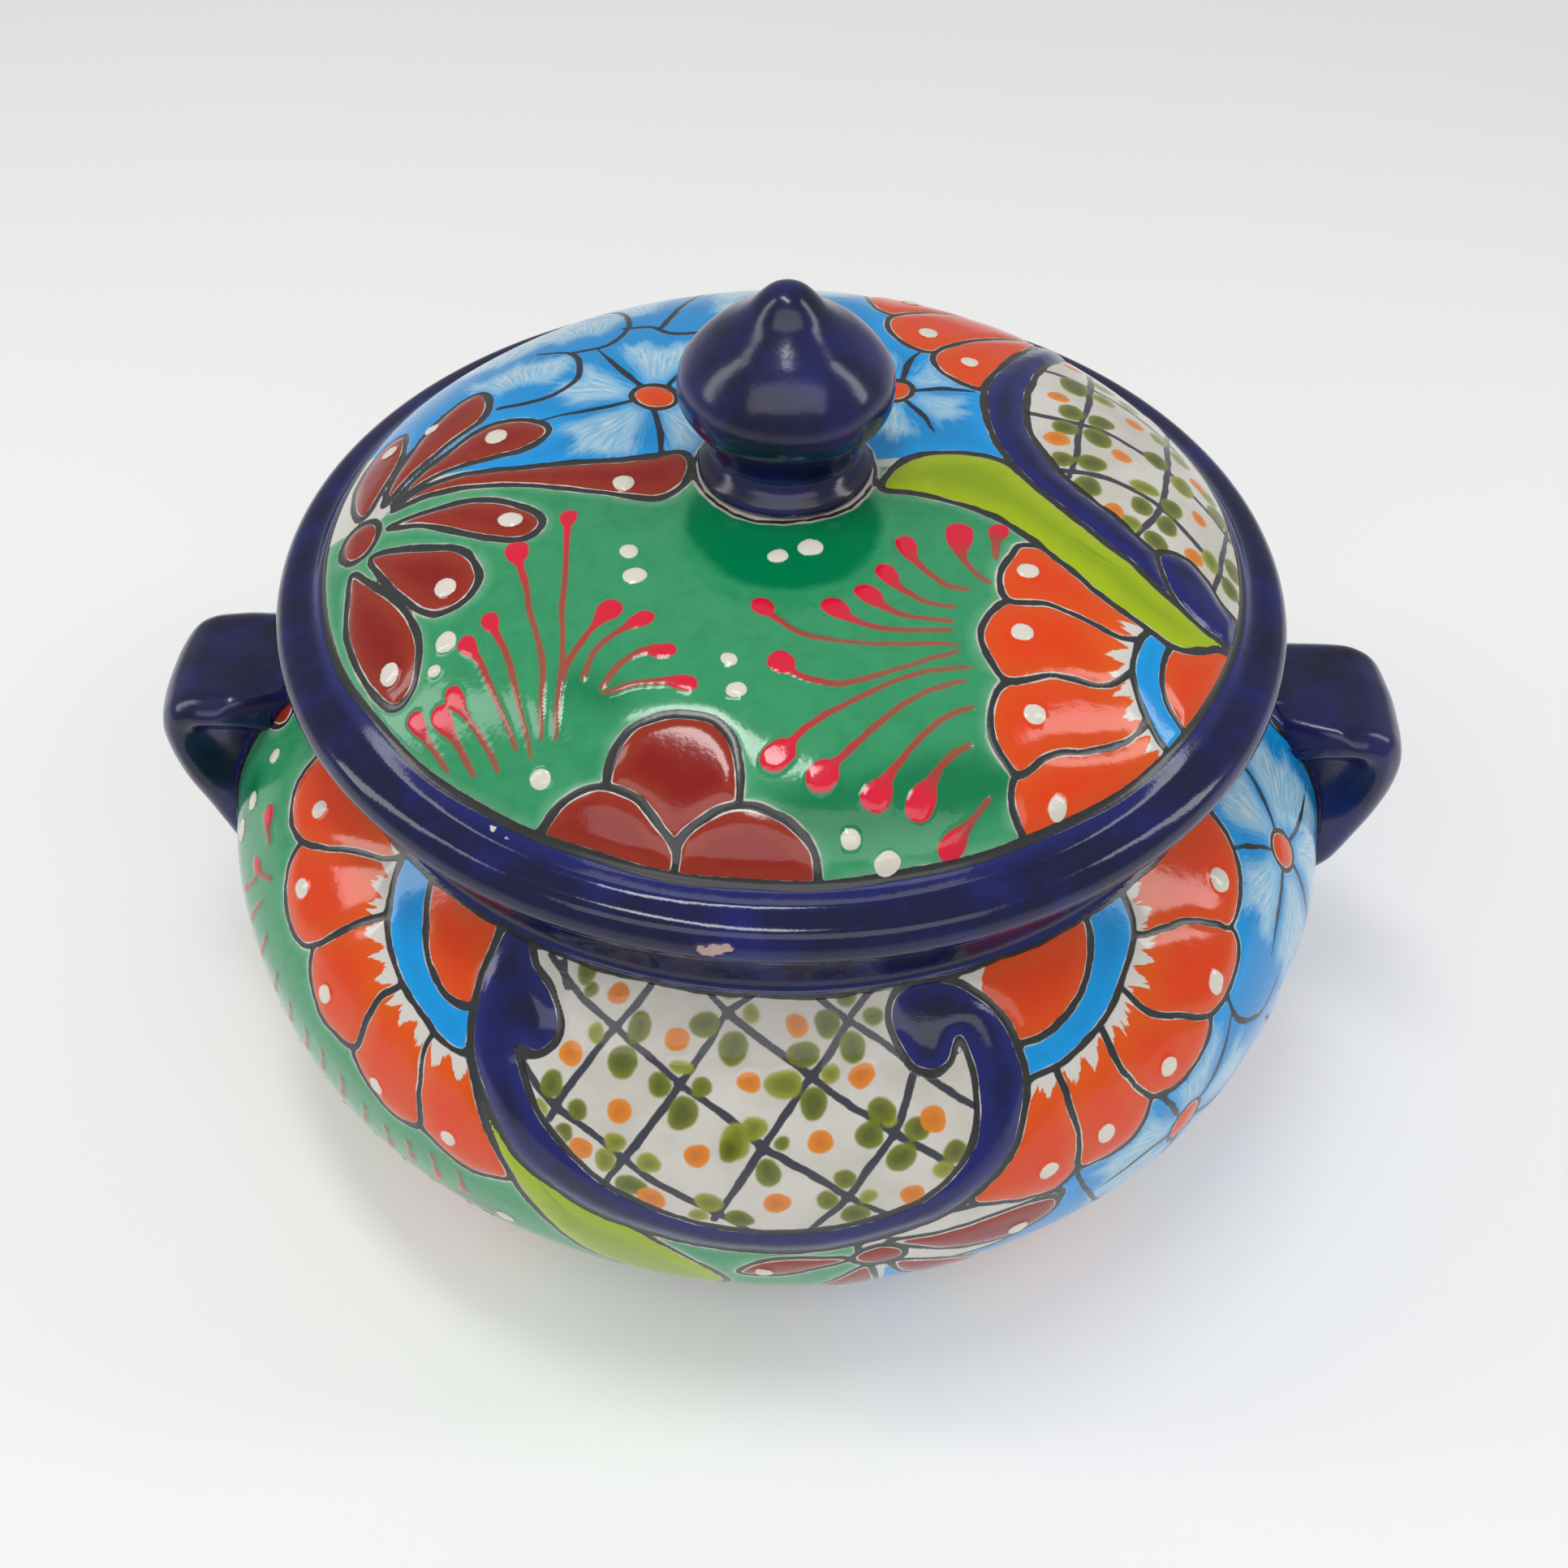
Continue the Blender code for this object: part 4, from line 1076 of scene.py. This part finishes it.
def make_lug(side, name, node):
    """An ear drawn out along Y, pressed in for the fingertips, then smoothed as one clay body."""
    slices = lug_slices(*LUGS[side])
    slices = [(-width, edge) for width, edge in slices[:0:-1]] + slices
    count = len(slices[0][1])
    points = np.vstack([np.stack([side * edge[:, 0], np.full(count, width), edge[:, 1]], 1)
                        for width, edge in slices])
    faces = []
    for k in range(len(slices) - 1):
        a, b = k * count, (k + 1) * count
        faces += [(a + i, b + i, b + (i + 1) % count, a + (i + 1) % count) for i in range(count)]
    faces += [list(range(count)), list(range(len(points) - 1, len(points) - count - 1, -1))]
    mesh = bpy.data.meshes.new(name)
    mesh.from_pydata((points * MM).tolist(), [], faces)
    lug = bpy.data.objects.new(name, mesh)
    bpy.context.scene.collection.objects.link(lug)
    fix_normals(lug)
    voxel_shape(lug, 0.75, 3)
    press_hollows(lug, side)
    voxel_shape(lug, 0.7, 6)
    finish_lug(lug, side)
    lug.data.materials.append(cobalt_glaze(name + "_cobalt", False))
    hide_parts(node)
    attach(lug, "pot")


def fix_normals(obj):
    """Turns every face outwards."""
    work = bmesh.new()
    work.from_mesh(obj.data)
    bmesh.ops.recalc_face_normals(work, faces=work.faces)
    work.to_mesh(obj.data)
    work.free()


def voxel_shape(obj, size, rounds):
    """Remeshes a piece evenly and relaxes it, and leaves the result in its mesh."""
    remesh = obj.modifiers.new("even", "REMESH")
    remesh.mode = "VOXEL"
    remesh.voxel_size = size * MM
    relax = obj.modifiers.new("relax", "SMOOTH")
    relax.factor = 0.5
    relax.iterations = rounds
    bpy.context.view_layer.update()
    made = bpy.data.meshes.new_from_object(obj.evaluated_get(bpy.context.evaluated_depsgraph_get()))
    obj.modifiers.clear()
    old = obj.data
    obj.data = made
    bpy.data.meshes.remove(old)


def mesh_points(obj):
    """A piece's mesh points, in mm."""
    co = np.empty(len(obj.data.vertices) * 3)
    obj.data.vertices.foreach_get("co", co)
    return co.reshape(-1, 3) / MM


def set_points(obj, points):
    obj.data.vertices.foreach_set("co", (points * MM).ravel())
    obj.data.update()


def press_hollows(lug, side):
    """A soft fingertip dish in the front and the back of the ear, under a firm upper lip."""
    p = mesh_points(lug)
    top = LUGS[side][0]
    x, z = p[:, 0] * side - DISH_OUT, p[:, 2] - (top - DISH_DOWN)
    wide = np.abs(x) / np.where(x > 0, 10.0, 18.0)
    tall = np.abs(z) / np.where(z > 0, 8.4, 14.0)
    power = np.where(z > 0, 2.8, 2.1)
    away = (wide ** power + tall ** power) ** (1 / power)
    share = np.clip((away - 0.25) / 0.85, 0, 1)
    depth = DISH_DEPTH * (1 - share * share * (3 - 2 * share))
    lip = 0.35 * np.exp(-((away - 1.16) / 0.13) ** 2) * np.clip(z / 5, 0, 1)
    face = np.clip((np.abs(p[:, 1]) - 10.0) / 4.0, 0, 1)
    p[:, 1] -= np.sign(p[:, 1]) * face * (depth - lip)
    set_points(lug, p)


def finish_lug(lug, side):
    """Keeps the lug inside its CAD size and sets its root into the pot's wall."""
    p = mesh_points(lug)
    p += 0.22 * ripple(p, 26, 50 + side)[:, None] * np.array([0.4, 1.0, 0.6])
    low, high = (np.array(v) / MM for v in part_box("left_handle" if side < 0 else "right_handle"))
    off_wall = np.hypot(p[:, 0], p[:, 1]) - wall_radius(p[:, 2])
    pinch = pinch_share(p) * (1 - np.clip(off_wall / 19.0, 0, 1)) ** 1.2
    p[:, 2] -= LUG_DROOP * pinch * (p[:, 1] / LUG_HALF) ** 2
    p[:, 1] *= 1 - LUG_PINCH / LUG_HALF * pinch
    for axis in (1, 2):
        p[:, axis] = np.clip(p[:, axis], low[axis], high[axis])
    reach = high[0] if side > 0 else -low[0]
    p[:, 0] = side * np.minimum(p[:, 0] * side, reach)
    radius = np.hypot(p[:, 0], p[:, 1])
    least = wall_radius(p[:, 2]) - 3.0
    scale = np.where(radius < least, least / np.maximum(radius, 1.0), 1.0)
    p[:, :2] *= scale[:, None]
    set_points(lug, p)
    lug.data.shade_smooth()


# ---------------------------------------------------------------- glazes

class Tree:
    """Short names for making a material's nodes."""

    def __init__(self, name):
        self.material = bpy.data.materials.new(name)
        self.material.use_nodes = True
        self.nodes, self.links = self.material.node_tree.nodes, self.material.node_tree.links
        self.shader = self.nodes["Principled BSDF"]
        self.place = self.nodes.new("ShaderNodeTexCoord").outputs["Object"]

    def set(self, socket, value):
        """Links value to a socket, or sets it there when it is a number or a colour."""
        if isinstance(value, bpy.types.NodeSocket):
            self.links.new(value, socket)
        elif isinstance(value, tuple) and len(value) == 3 and socket.type == "RGBA":
            socket.default_value = (*value, 1.0)
        else:
            socket.default_value = value

    def attribute(self, name):
        node = self.nodes.new("ShaderNodeAttribute")
        node.attribute_name = name
        return node.outputs["Fac"]

    def math(self, operation, a, b=0.0, c=None):
        node = self.nodes.new("ShaderNodeMath")
        node.operation = operation
        self.set(node.inputs[0], a)
        self.set(node.inputs[1], b)
        if c is not None:
            self.set(node.inputs[2], c)
        return node.outputs[0]

    def ramp(self, value, low, high, out_low=0.0, out_high=1.0):
        """value from low to high becomes out_low to out_high, smoothly."""
        node = self.nodes.new("ShaderNodeMapRange")
        node.interpolation_type = "SMOOTHSTEP"
        self.set(node.inputs["Value"], value)
        limits = {"From Min": low, "From Max": high, "To Min": out_low, "To Max": out_high}
        for name, number in limits.items():
            node.inputs[name].default_value = number
        return node.outputs["Result"]

    def mix(self, share, a, b):
        node = self.nodes.new("ShaderNodeMix")
        node.data_type = "RGBA"
        self.set(node.inputs[0], share)
        self.set(node.inputs[6], a)
        self.set(node.inputs[7], b)
        return node.outputs[2]

    def add(self, a, factor, b):
        """a times factor, plus b."""
        return self.math("MULTIPLY_ADD", a, factor, b)

    def noise(self, scale, detail=2.0, rough=0.5, vector=None, distortion=0.0):
        node = self.nodes.new("ShaderNodeTexNoise")
        self.set(node.inputs["Vector"], vector or self.place)
        node.inputs["Scale"].default_value = scale
        node.inputs["Detail"].default_value = detail
        node.inputs["Roughness"].default_value = rough
        node.inputs["Distortion"].default_value = distortion
        return node.outputs["Fac"]

    def combine(self, x, y, z=0.0):
        node = self.nodes.new("ShaderNodeCombineXYZ")
        for socket, value in zip(node.inputs, (x, y, z)):
            self.set(socket, value)
        return node.outputs[0]

    def bump(self, height, strength, distance, before=None):
        node = self.nodes.new("ShaderNodeBump")
        node.inputs["Strength"].default_value = strength
        node.inputs["Distance"].default_value = distance
        self.set(node.inputs["Height"], height)
        if before is not None:
            self.set(node.inputs["Normal"], before)
        return node.outputs["Normal"]


    def glaze(self, colour, roughness, ink=None):
        """Clear glaze over colour, rippled like poured glass and a little sunk over ink."""
        self.set(self.shader.inputs["Base Color"], colour)
        self.set(self.shader.inputs["Roughness"], roughness)
        self.shader.inputs["IOR"].default_value = 1.52
        surface = self.add(self.noise(75, 2.0), 1.0, self.math("MULTIPLY", self.noise(900, 2.0), 0.10))
        normal = self.bump(surface, 0.35, 0.0006)
        if ink is not None:
            normal = self.bump(self.math("MULTIPLY", ink, -1.0), 0.25, 0.00015, normal)
        self.set(self.shader.inputs["Normal"], normal)
        return self.material


# Paint colours: the edge of a painted shape, its middle, and a thin or thick patch
WHITE, WHITE_DIM = (0.74, 0.72, 0.66), (0.64, 0.61, 0.54)
CLAY, CLAY_DARK, LID_CLAY = (0.52, 0.27, 0.17), (0.36, 0.18, 0.11), (0.56, 0.39, 0.36)
GREEN, GREEN_DEEP, GREEN_THIN = (0.040, 0.345, 0.145), (0.0, 0.215, 0.074), (0.22, 0.53, 0.31)
BLUE, BLUE_DEEP = (0.0, 0.35, 0.85), (0.0, 0.295, 0.72)
BLUE_WASH, BLUE_HAIR = (0.26, 0.58, 0.82), (0.66, 0.78, 0.82)
BROWN, BROWN_DEEP = (0.34, 0.028, 0.009), (0.28, 0.005, 0.001)
ORANGE, ORANGE_DEEP, ORANGE_GLOW = (0.80, 0.080, 0.004), (0.84, 0.055, 0.0), (0.86, 0.12, 0.0)
COBALT, COBALT_DEEP, COBALT_THIN = (0.012, 0.018, 0.16), (0.003, 0.004, 0.045), (0.008, 0.013, 0.17)
PLAIN_COBALT, PLAIN_COBALT_DEEP = (0.013, 0.015, 0.125), (0.0035, 0.004, 0.034)
LIME, LIME_DEEP, VEIN = (0.40, 0.54, 0.002), (0.29, 0.42, 0.0), (0.07, 0.11, 0.002)
OUTLINE, OUTLINE_THIN, NET = (0.010, 0.012, 0.015), (0.03, 0.034, 0.042), (0.026, 0.030, 0.053)
KNOB_LINE, PINHOLE, SPECK = (0.03, 0.03, 0.035), (0.10, 0.07, 0.06), (0.12, 0.08, 0.05)
OLIVE, OLIVE_DEEP = (0.21, 0.235, 0.006), (0.085, 0.115, 0.0)
SAGE, SAGE_DEEP = (0.36, 0.38, 0.04), (0.18, 0.21, 0.002)
AMBER, AMBER_DEEP = (0.84, 0.27, 0.008), (0.70, 0.18, 0.0)
RED, RED_DRY = (0.78, 0.010, 0.045), (0.45, 0.035, 0.035)
BEAD = (0.80, 0.76, 0.66)

# Each fill's attribute, edge and middle colours, bare gap to its line, softness and depth of its edge
PAINTS = (("green", GREEN, GREEN, 0.92, 0.5, 2.0), ("blue", BLUE, BLUE_DEEP, 0.80, 0.35, 5.0),
          ("brown", BROWN, BROWN_DEEP, 1.06, 0.14, 6.0), ("orange", ORANGE, ORANGE_DEEP, 0.88, 0.16, 6.0),
          ("cobalt", COBALT, COBALT_DEEP, 0.85, 0.14, 5.0), ("lime", LIME, LIME_DEEP, 0.82, 0.14, 7.0))
# Each brushed layer's attribute, edge and middle colours, outward shift and softness
BRUSHED = (("lattice", NET, NET, 0.10, 0.25), ("sage", SAGE, SAGE_DEEP, 0.15, 0.8),
           ("olive", OLIVE, OLIVE_DEEP, 0.15, 0.7), ("amber", AMBER, AMBER_DEEP, 0.15, 0.45),
           ("vein", LIME_DEEP, VEIN, 0.1, 0.5))


class PaintedGlaze(Tree):
    """Clear-glazed clay painted in the colours whose distances the mesh carries."""

    def __init__(self, name, clay):
        super().__init__(name)
        self.soft = self.noise(55, 3.0, 0.6)
        self.brush = self.noise(150, 4.0, 0.65, distortion=0.6)
        self.shiver = self.add(self.noise(420, 2.0), 0.5, -0.25)
        self.flare, self.turn = self.attribute("flare"), self.attribute("flare_turn")
        self.along_petal = self.combine(self.turn, self.math("MULTIPLY", self.flare, 0.10))
        self.clay = clay

    def edge(self, name, shiver):
        """A layer's distance, with its edge made a little unsteady."""
        return self.add(self.shiver, shiver, self.attribute(name))

    def fill(self, colour, key, edge, middle, gap, soften, depth):
        """Lays one fill over colour, short of its line by gap, and deeper in colour further in."""
        away = self.edge(key, 0.5 if gap else 1.2)
        share = self.ramp(away, -gap - soften, -gap + 0.5 * soften, 1.0, 0.0)
        inward = self.ramp(self.add(self.brush, 5.0, away), -depth + 1.5, 1.5, 1.0, 0.0)
        paint = self.mix(inward, edge, middle)
        if key == "green":
            paint = self.brushed_green(paint, away)
        elif key == "blue":
            paint = self.haired_blue(paint)
        elif key == "cobalt":
            paint = self.mix(self.ramp(self.soft, 0.42, 0.72, 0.0, 0.75), paint, COBALT_THIN)
        elif key == "orange":
            paint = self.flared_orange(paint)
        return self.mix(share, colour, paint)

    def brushed_green(self, paint, away):
        """Green that is thin at its edges, dark under a second brushing, and darkened by painted shade at
        the knob's front.
        """
        thin = self.ramp(self.add(self.soft, 3.0, away), -2.4, 1.0, 0.0, 0.55)
        paint = self.mix(thin, paint, GREEN_THIN)
        paint = self.mix(self.ramp(self.brush, 0.35, 0.75, 0.0, 0.35), paint, GREEN_DEEP)
        coat_and_shade = self.ramp(self.add(self.brush, 3.0, self.attribute("coat_and_shade")), -0.4, 2.6, 1.0, 0.0)
        return self.mix(coat_and_shade, paint, GREEN_DEEP)

    def haired_blue(self, paint):
        """Blue with a pale wash and white hairs that run out from each flower's centre."""
        hair = self.noise(0.95, 3.0, 0.65, self.combine(self.turn, self.math("MULTIPLY", self.flare, 0.14)))
        marks = self.add(hair, 9.0, self.attribute("brush"))
        paint = self.mix(self.ramp(marks, 0.8, 5.4, 0.85, 0.0), paint, BLUE_WASH)
        streak = self.math("MULTIPLY", self.ramp(hair, 0.38, 0.66), self.ramp(marks, 0.4, 4.6, 0.80, 0.0))
        return self.mix(streak, paint, BLUE_HAIR)

    def flared_orange(self, paint):
        """Orange that glows near a daisy's ring and leaves a ragged white flare beside it."""
        streak = self.noise(0.30, 3.0, 0.6, self.along_petal)
        glow = self.ramp(self.add(streak, 8.0, self.flare), 6.0, 20.0, 0.75, 0.0)
        hairs = self.noise(0.62, 3.0, 0.7, self.along_petal)
        jag = self.math("PINGPONG", self.add(hairs, 4.0, self.math("MULTIPLY", self.turn, 0.8)), 1.5)
        tooth = self.add(jag, 3.0, self.add(hairs, 6.0, -1.2))
        bare = self.ramp(self.math("SUBTRACT", self.flare, tooth), -0.35, 0.35, 1.0, 0.0)
        return self.mix(bare, self.mix(glow, paint, ORANGE_GLOW), WHITE)

    def slip(self, colour):
        """Red strokes that dry out toward their tails."""
        along = self.attribute("along")
        red = self.mix(self.ramp(along, 0.05, 0.45), RED, RED_DRY)
        share = self.ramp(self.edge("stroke", 0.5), -0.35, 0.08, 1.0, 0.0)
        return self.mix(self.math("MULTIPLY", share, self.ramp(along, 0.0, 1.0, 1.0, 0.72)), colour, red)

    def finish(self):
        """Every layer in the order it was painted, then the clear glaze."""
        colour = self.mix(self.ramp(self.soft, 0.35, 0.7), WHITE, WHITE_DIM)
        for paint in (*PAINTS, ("clay", self.clay, self.clay, 0.0, 0.3, 2.0)):
            colour = self.fill(colour, *paint)
        for key, edge, middle, shift, soften in BRUSHED:
            away = self.edge(key, 0.9)
            paint = self.mix(self.ramp(self.add(self.brush, 2.2, away), -1.6, 1.2, 1.0, 0.0), edge, middle)
            colour = self.mix(self.ramp(away, -soften, shift, 0.96, 0.0), colour, paint)
        colour = self.slip(colour)
        ink = self.ramp(self.edge("line", 0.7), -0.16, 0.12, 0.97, 0.0)
        outline = self.mix(self.ramp(self.brush, 0.4, 0.8, 0.0, 0.5), OUTLINE, OUTLINE_THIN)
        colour = self.mix(ink, colour, outline)
        colour = self.mix(self.ramp(self.edge("bead", 0.5), -0.2, 0.1, 1.0, 0.0), colour, BEAD)
        colour = self.mix(self.ramp(self.noise(900, 1.0), 0.80, 0.84, 0.0, 0.35), colour, SPECK)
        bare_clay = self.ramp(self.attribute("clay"), -0.3, 0.1, 0.62, 0.0)
        worn = self.math("MAXIMUM", self.add(self.noise(38, 3.0), 0.10, 0.065), bare_clay)
        return self.glaze(colour, self.math("MAXIMUM", worn, self.math("MULTIPLY", ink, 0.20)), ink)


def cobalt_glaze(name, on_knob):
    """Deep cobalt, darker in random patches, with pinholes; the knob's foot shows its clay."""
    t = Tree(name)
    pool = t.noise(60, 3.0, 0.6)
    colour = t.mix(t.ramp(pool, 0.30, 0.72), PLAIN_COBALT_DEEP, PLAIN_COBALT)
    colour = t.mix(t.ramp(t.noise(520, 0.0), 0.88, 0.90, 0.0, 0.5), colour, PINHOLE)
    if on_knob:
        line = t.ramp(t.add(pool, 0.8, t.attribute("line")), 0.1, 0.5, 0.7, 0.0)
        colour = t.mix(line, colour, KNOB_LINE)
        foot = t.ramp(t.attribute("clay"), -0.5, 0.2, 0.6, 0.0)
        colour = t.mix(foot, colour, CLAY_DARK)
    return t.glaze(colour, t.add(t.noise(38, 3.0), 0.10, 0.13))


# ---------------------------------------------------------------- studio

CAMERA_AT = Vector((1.33, -365.11, 440.32)) * MM
CAMERA_AIM = Vector((1.33, 0.0, 71.18)) * MM
CAMERA_VIEW, CAMERA_ROLL = 43.27, 1.224              # degrees
FLOOR_REACH, FLOOR_GLOW, WORLD_STRENGTH = 9.0, 0.16, 0.38
# Each softbox's name, place in metres, width, height and watts; all face the pot
SOFTBOXES = (("left_box", (-0.90, 0.0, 0.75), 0.20, 0.9, 2.0),
             ("right_box", (0.90, 0.0, 0.72), 0.18, 0.8, 1.8),
             ("top_box", (-0.12, -0.10, 1.15), 0.50, 0.16, 2.6),
             ("front_box", (0.0, -0.80, 1.10), 1.7, 0.45, 3.4))


def add_camera():
    """The photo's viewing angle, with its slight tilt to one side."""
    camera = bpy.data.objects.new("camera", bpy.data.cameras.new("camera"))
    bpy.context.scene.collection.objects.link(camera)
    forward = (CAMERA_AIM - CAMERA_AT).normalized()
    across = Vector((1, 0, 0))
    up = across.cross(forward)
    roll = math.radians(CAMERA_ROLL)
    right = math.cos(roll) * across + math.sin(roll) * up
    top = math.cos(roll) * up - math.sin(roll) * across
    turn = Matrix((right, top, -forward)).transposed().to_4x4()
    camera.matrix_world = Matrix.Translation(CAMERA_AT) @ turn
    camera.data.sensor_fit = "HORIZONTAL"
    camera.data.angle = math.radians(CAMERA_VIEW)
    camera.data.clip_start = 0.01
    bpy.context.scene.camera = camera


def add_softbox(name, at, width, height, watts):
    light = bpy.data.lights.new(name, "AREA")
    light.shape, light.size, light.size_y, light.energy = "RECTANGLE", width, height, watts
    obj = bpy.data.objects.new(name, light)
    bpy.context.scene.collection.objects.link(obj)
    obj.location = at
    obj.rotation_euler = (Vector((0, 0, 0.1)) - Vector(at)).to_track_quat("-Z", "Y").to_euler()


def add_floor():
    """Pale paper that glows a little, so that it stays plain out to its edges."""
    far = FLOOR_REACH
    mesh = bpy.data.meshes.new("floor")
    mesh.from_pydata([(-far, -far, 0), (far, -far, 0), (far, far, 0), (-far, far, 0)], [], [(0, 1, 2, 3)])
    floor = bpy.data.objects.new("floor", mesh)
    bpy.context.scene.collection.objects.link(floor)
    t = Tree("floor_paper")
    t.set(t.shader.inputs["Base Color"], t.mix(t.noise(6.0, 3.0), (0.90, 0.90, 0.90), (0.92, 0.92, 0.91)))
    t.shader.inputs["Roughness"].default_value = 0.9
    t.shader.inputs["Emission Color"].default_value = (1.0, 1.0, 1.0, 1.0)
    t.shader.inputs["Emission Strength"].default_value = FLOOR_GLOW
    mesh.materials.append(t.material)


def add_studio():
    world = bpy.data.worlds.new("studio")
    bpy.context.scene.world = world
    world.use_nodes = True
    background = world.node_tree.nodes["Background"]
    background.inputs["Color"].default_value = (1.0, 1.0, 1.0, 1.0)
    background.inputs["Strength"].default_value = WORLD_STRENGTH
    for box in SOFTBOXES:
        add_softbox(*box)
    add_floor()
    bpy.context.scene.view_settings.view_transform = "Standard"


make_pot()
make_lid()
make_knob()
make_lug(-1, "left_lug", "left_handle")
make_lug(1, "right_lug", "right_handle")
add_camera()
add_studio()
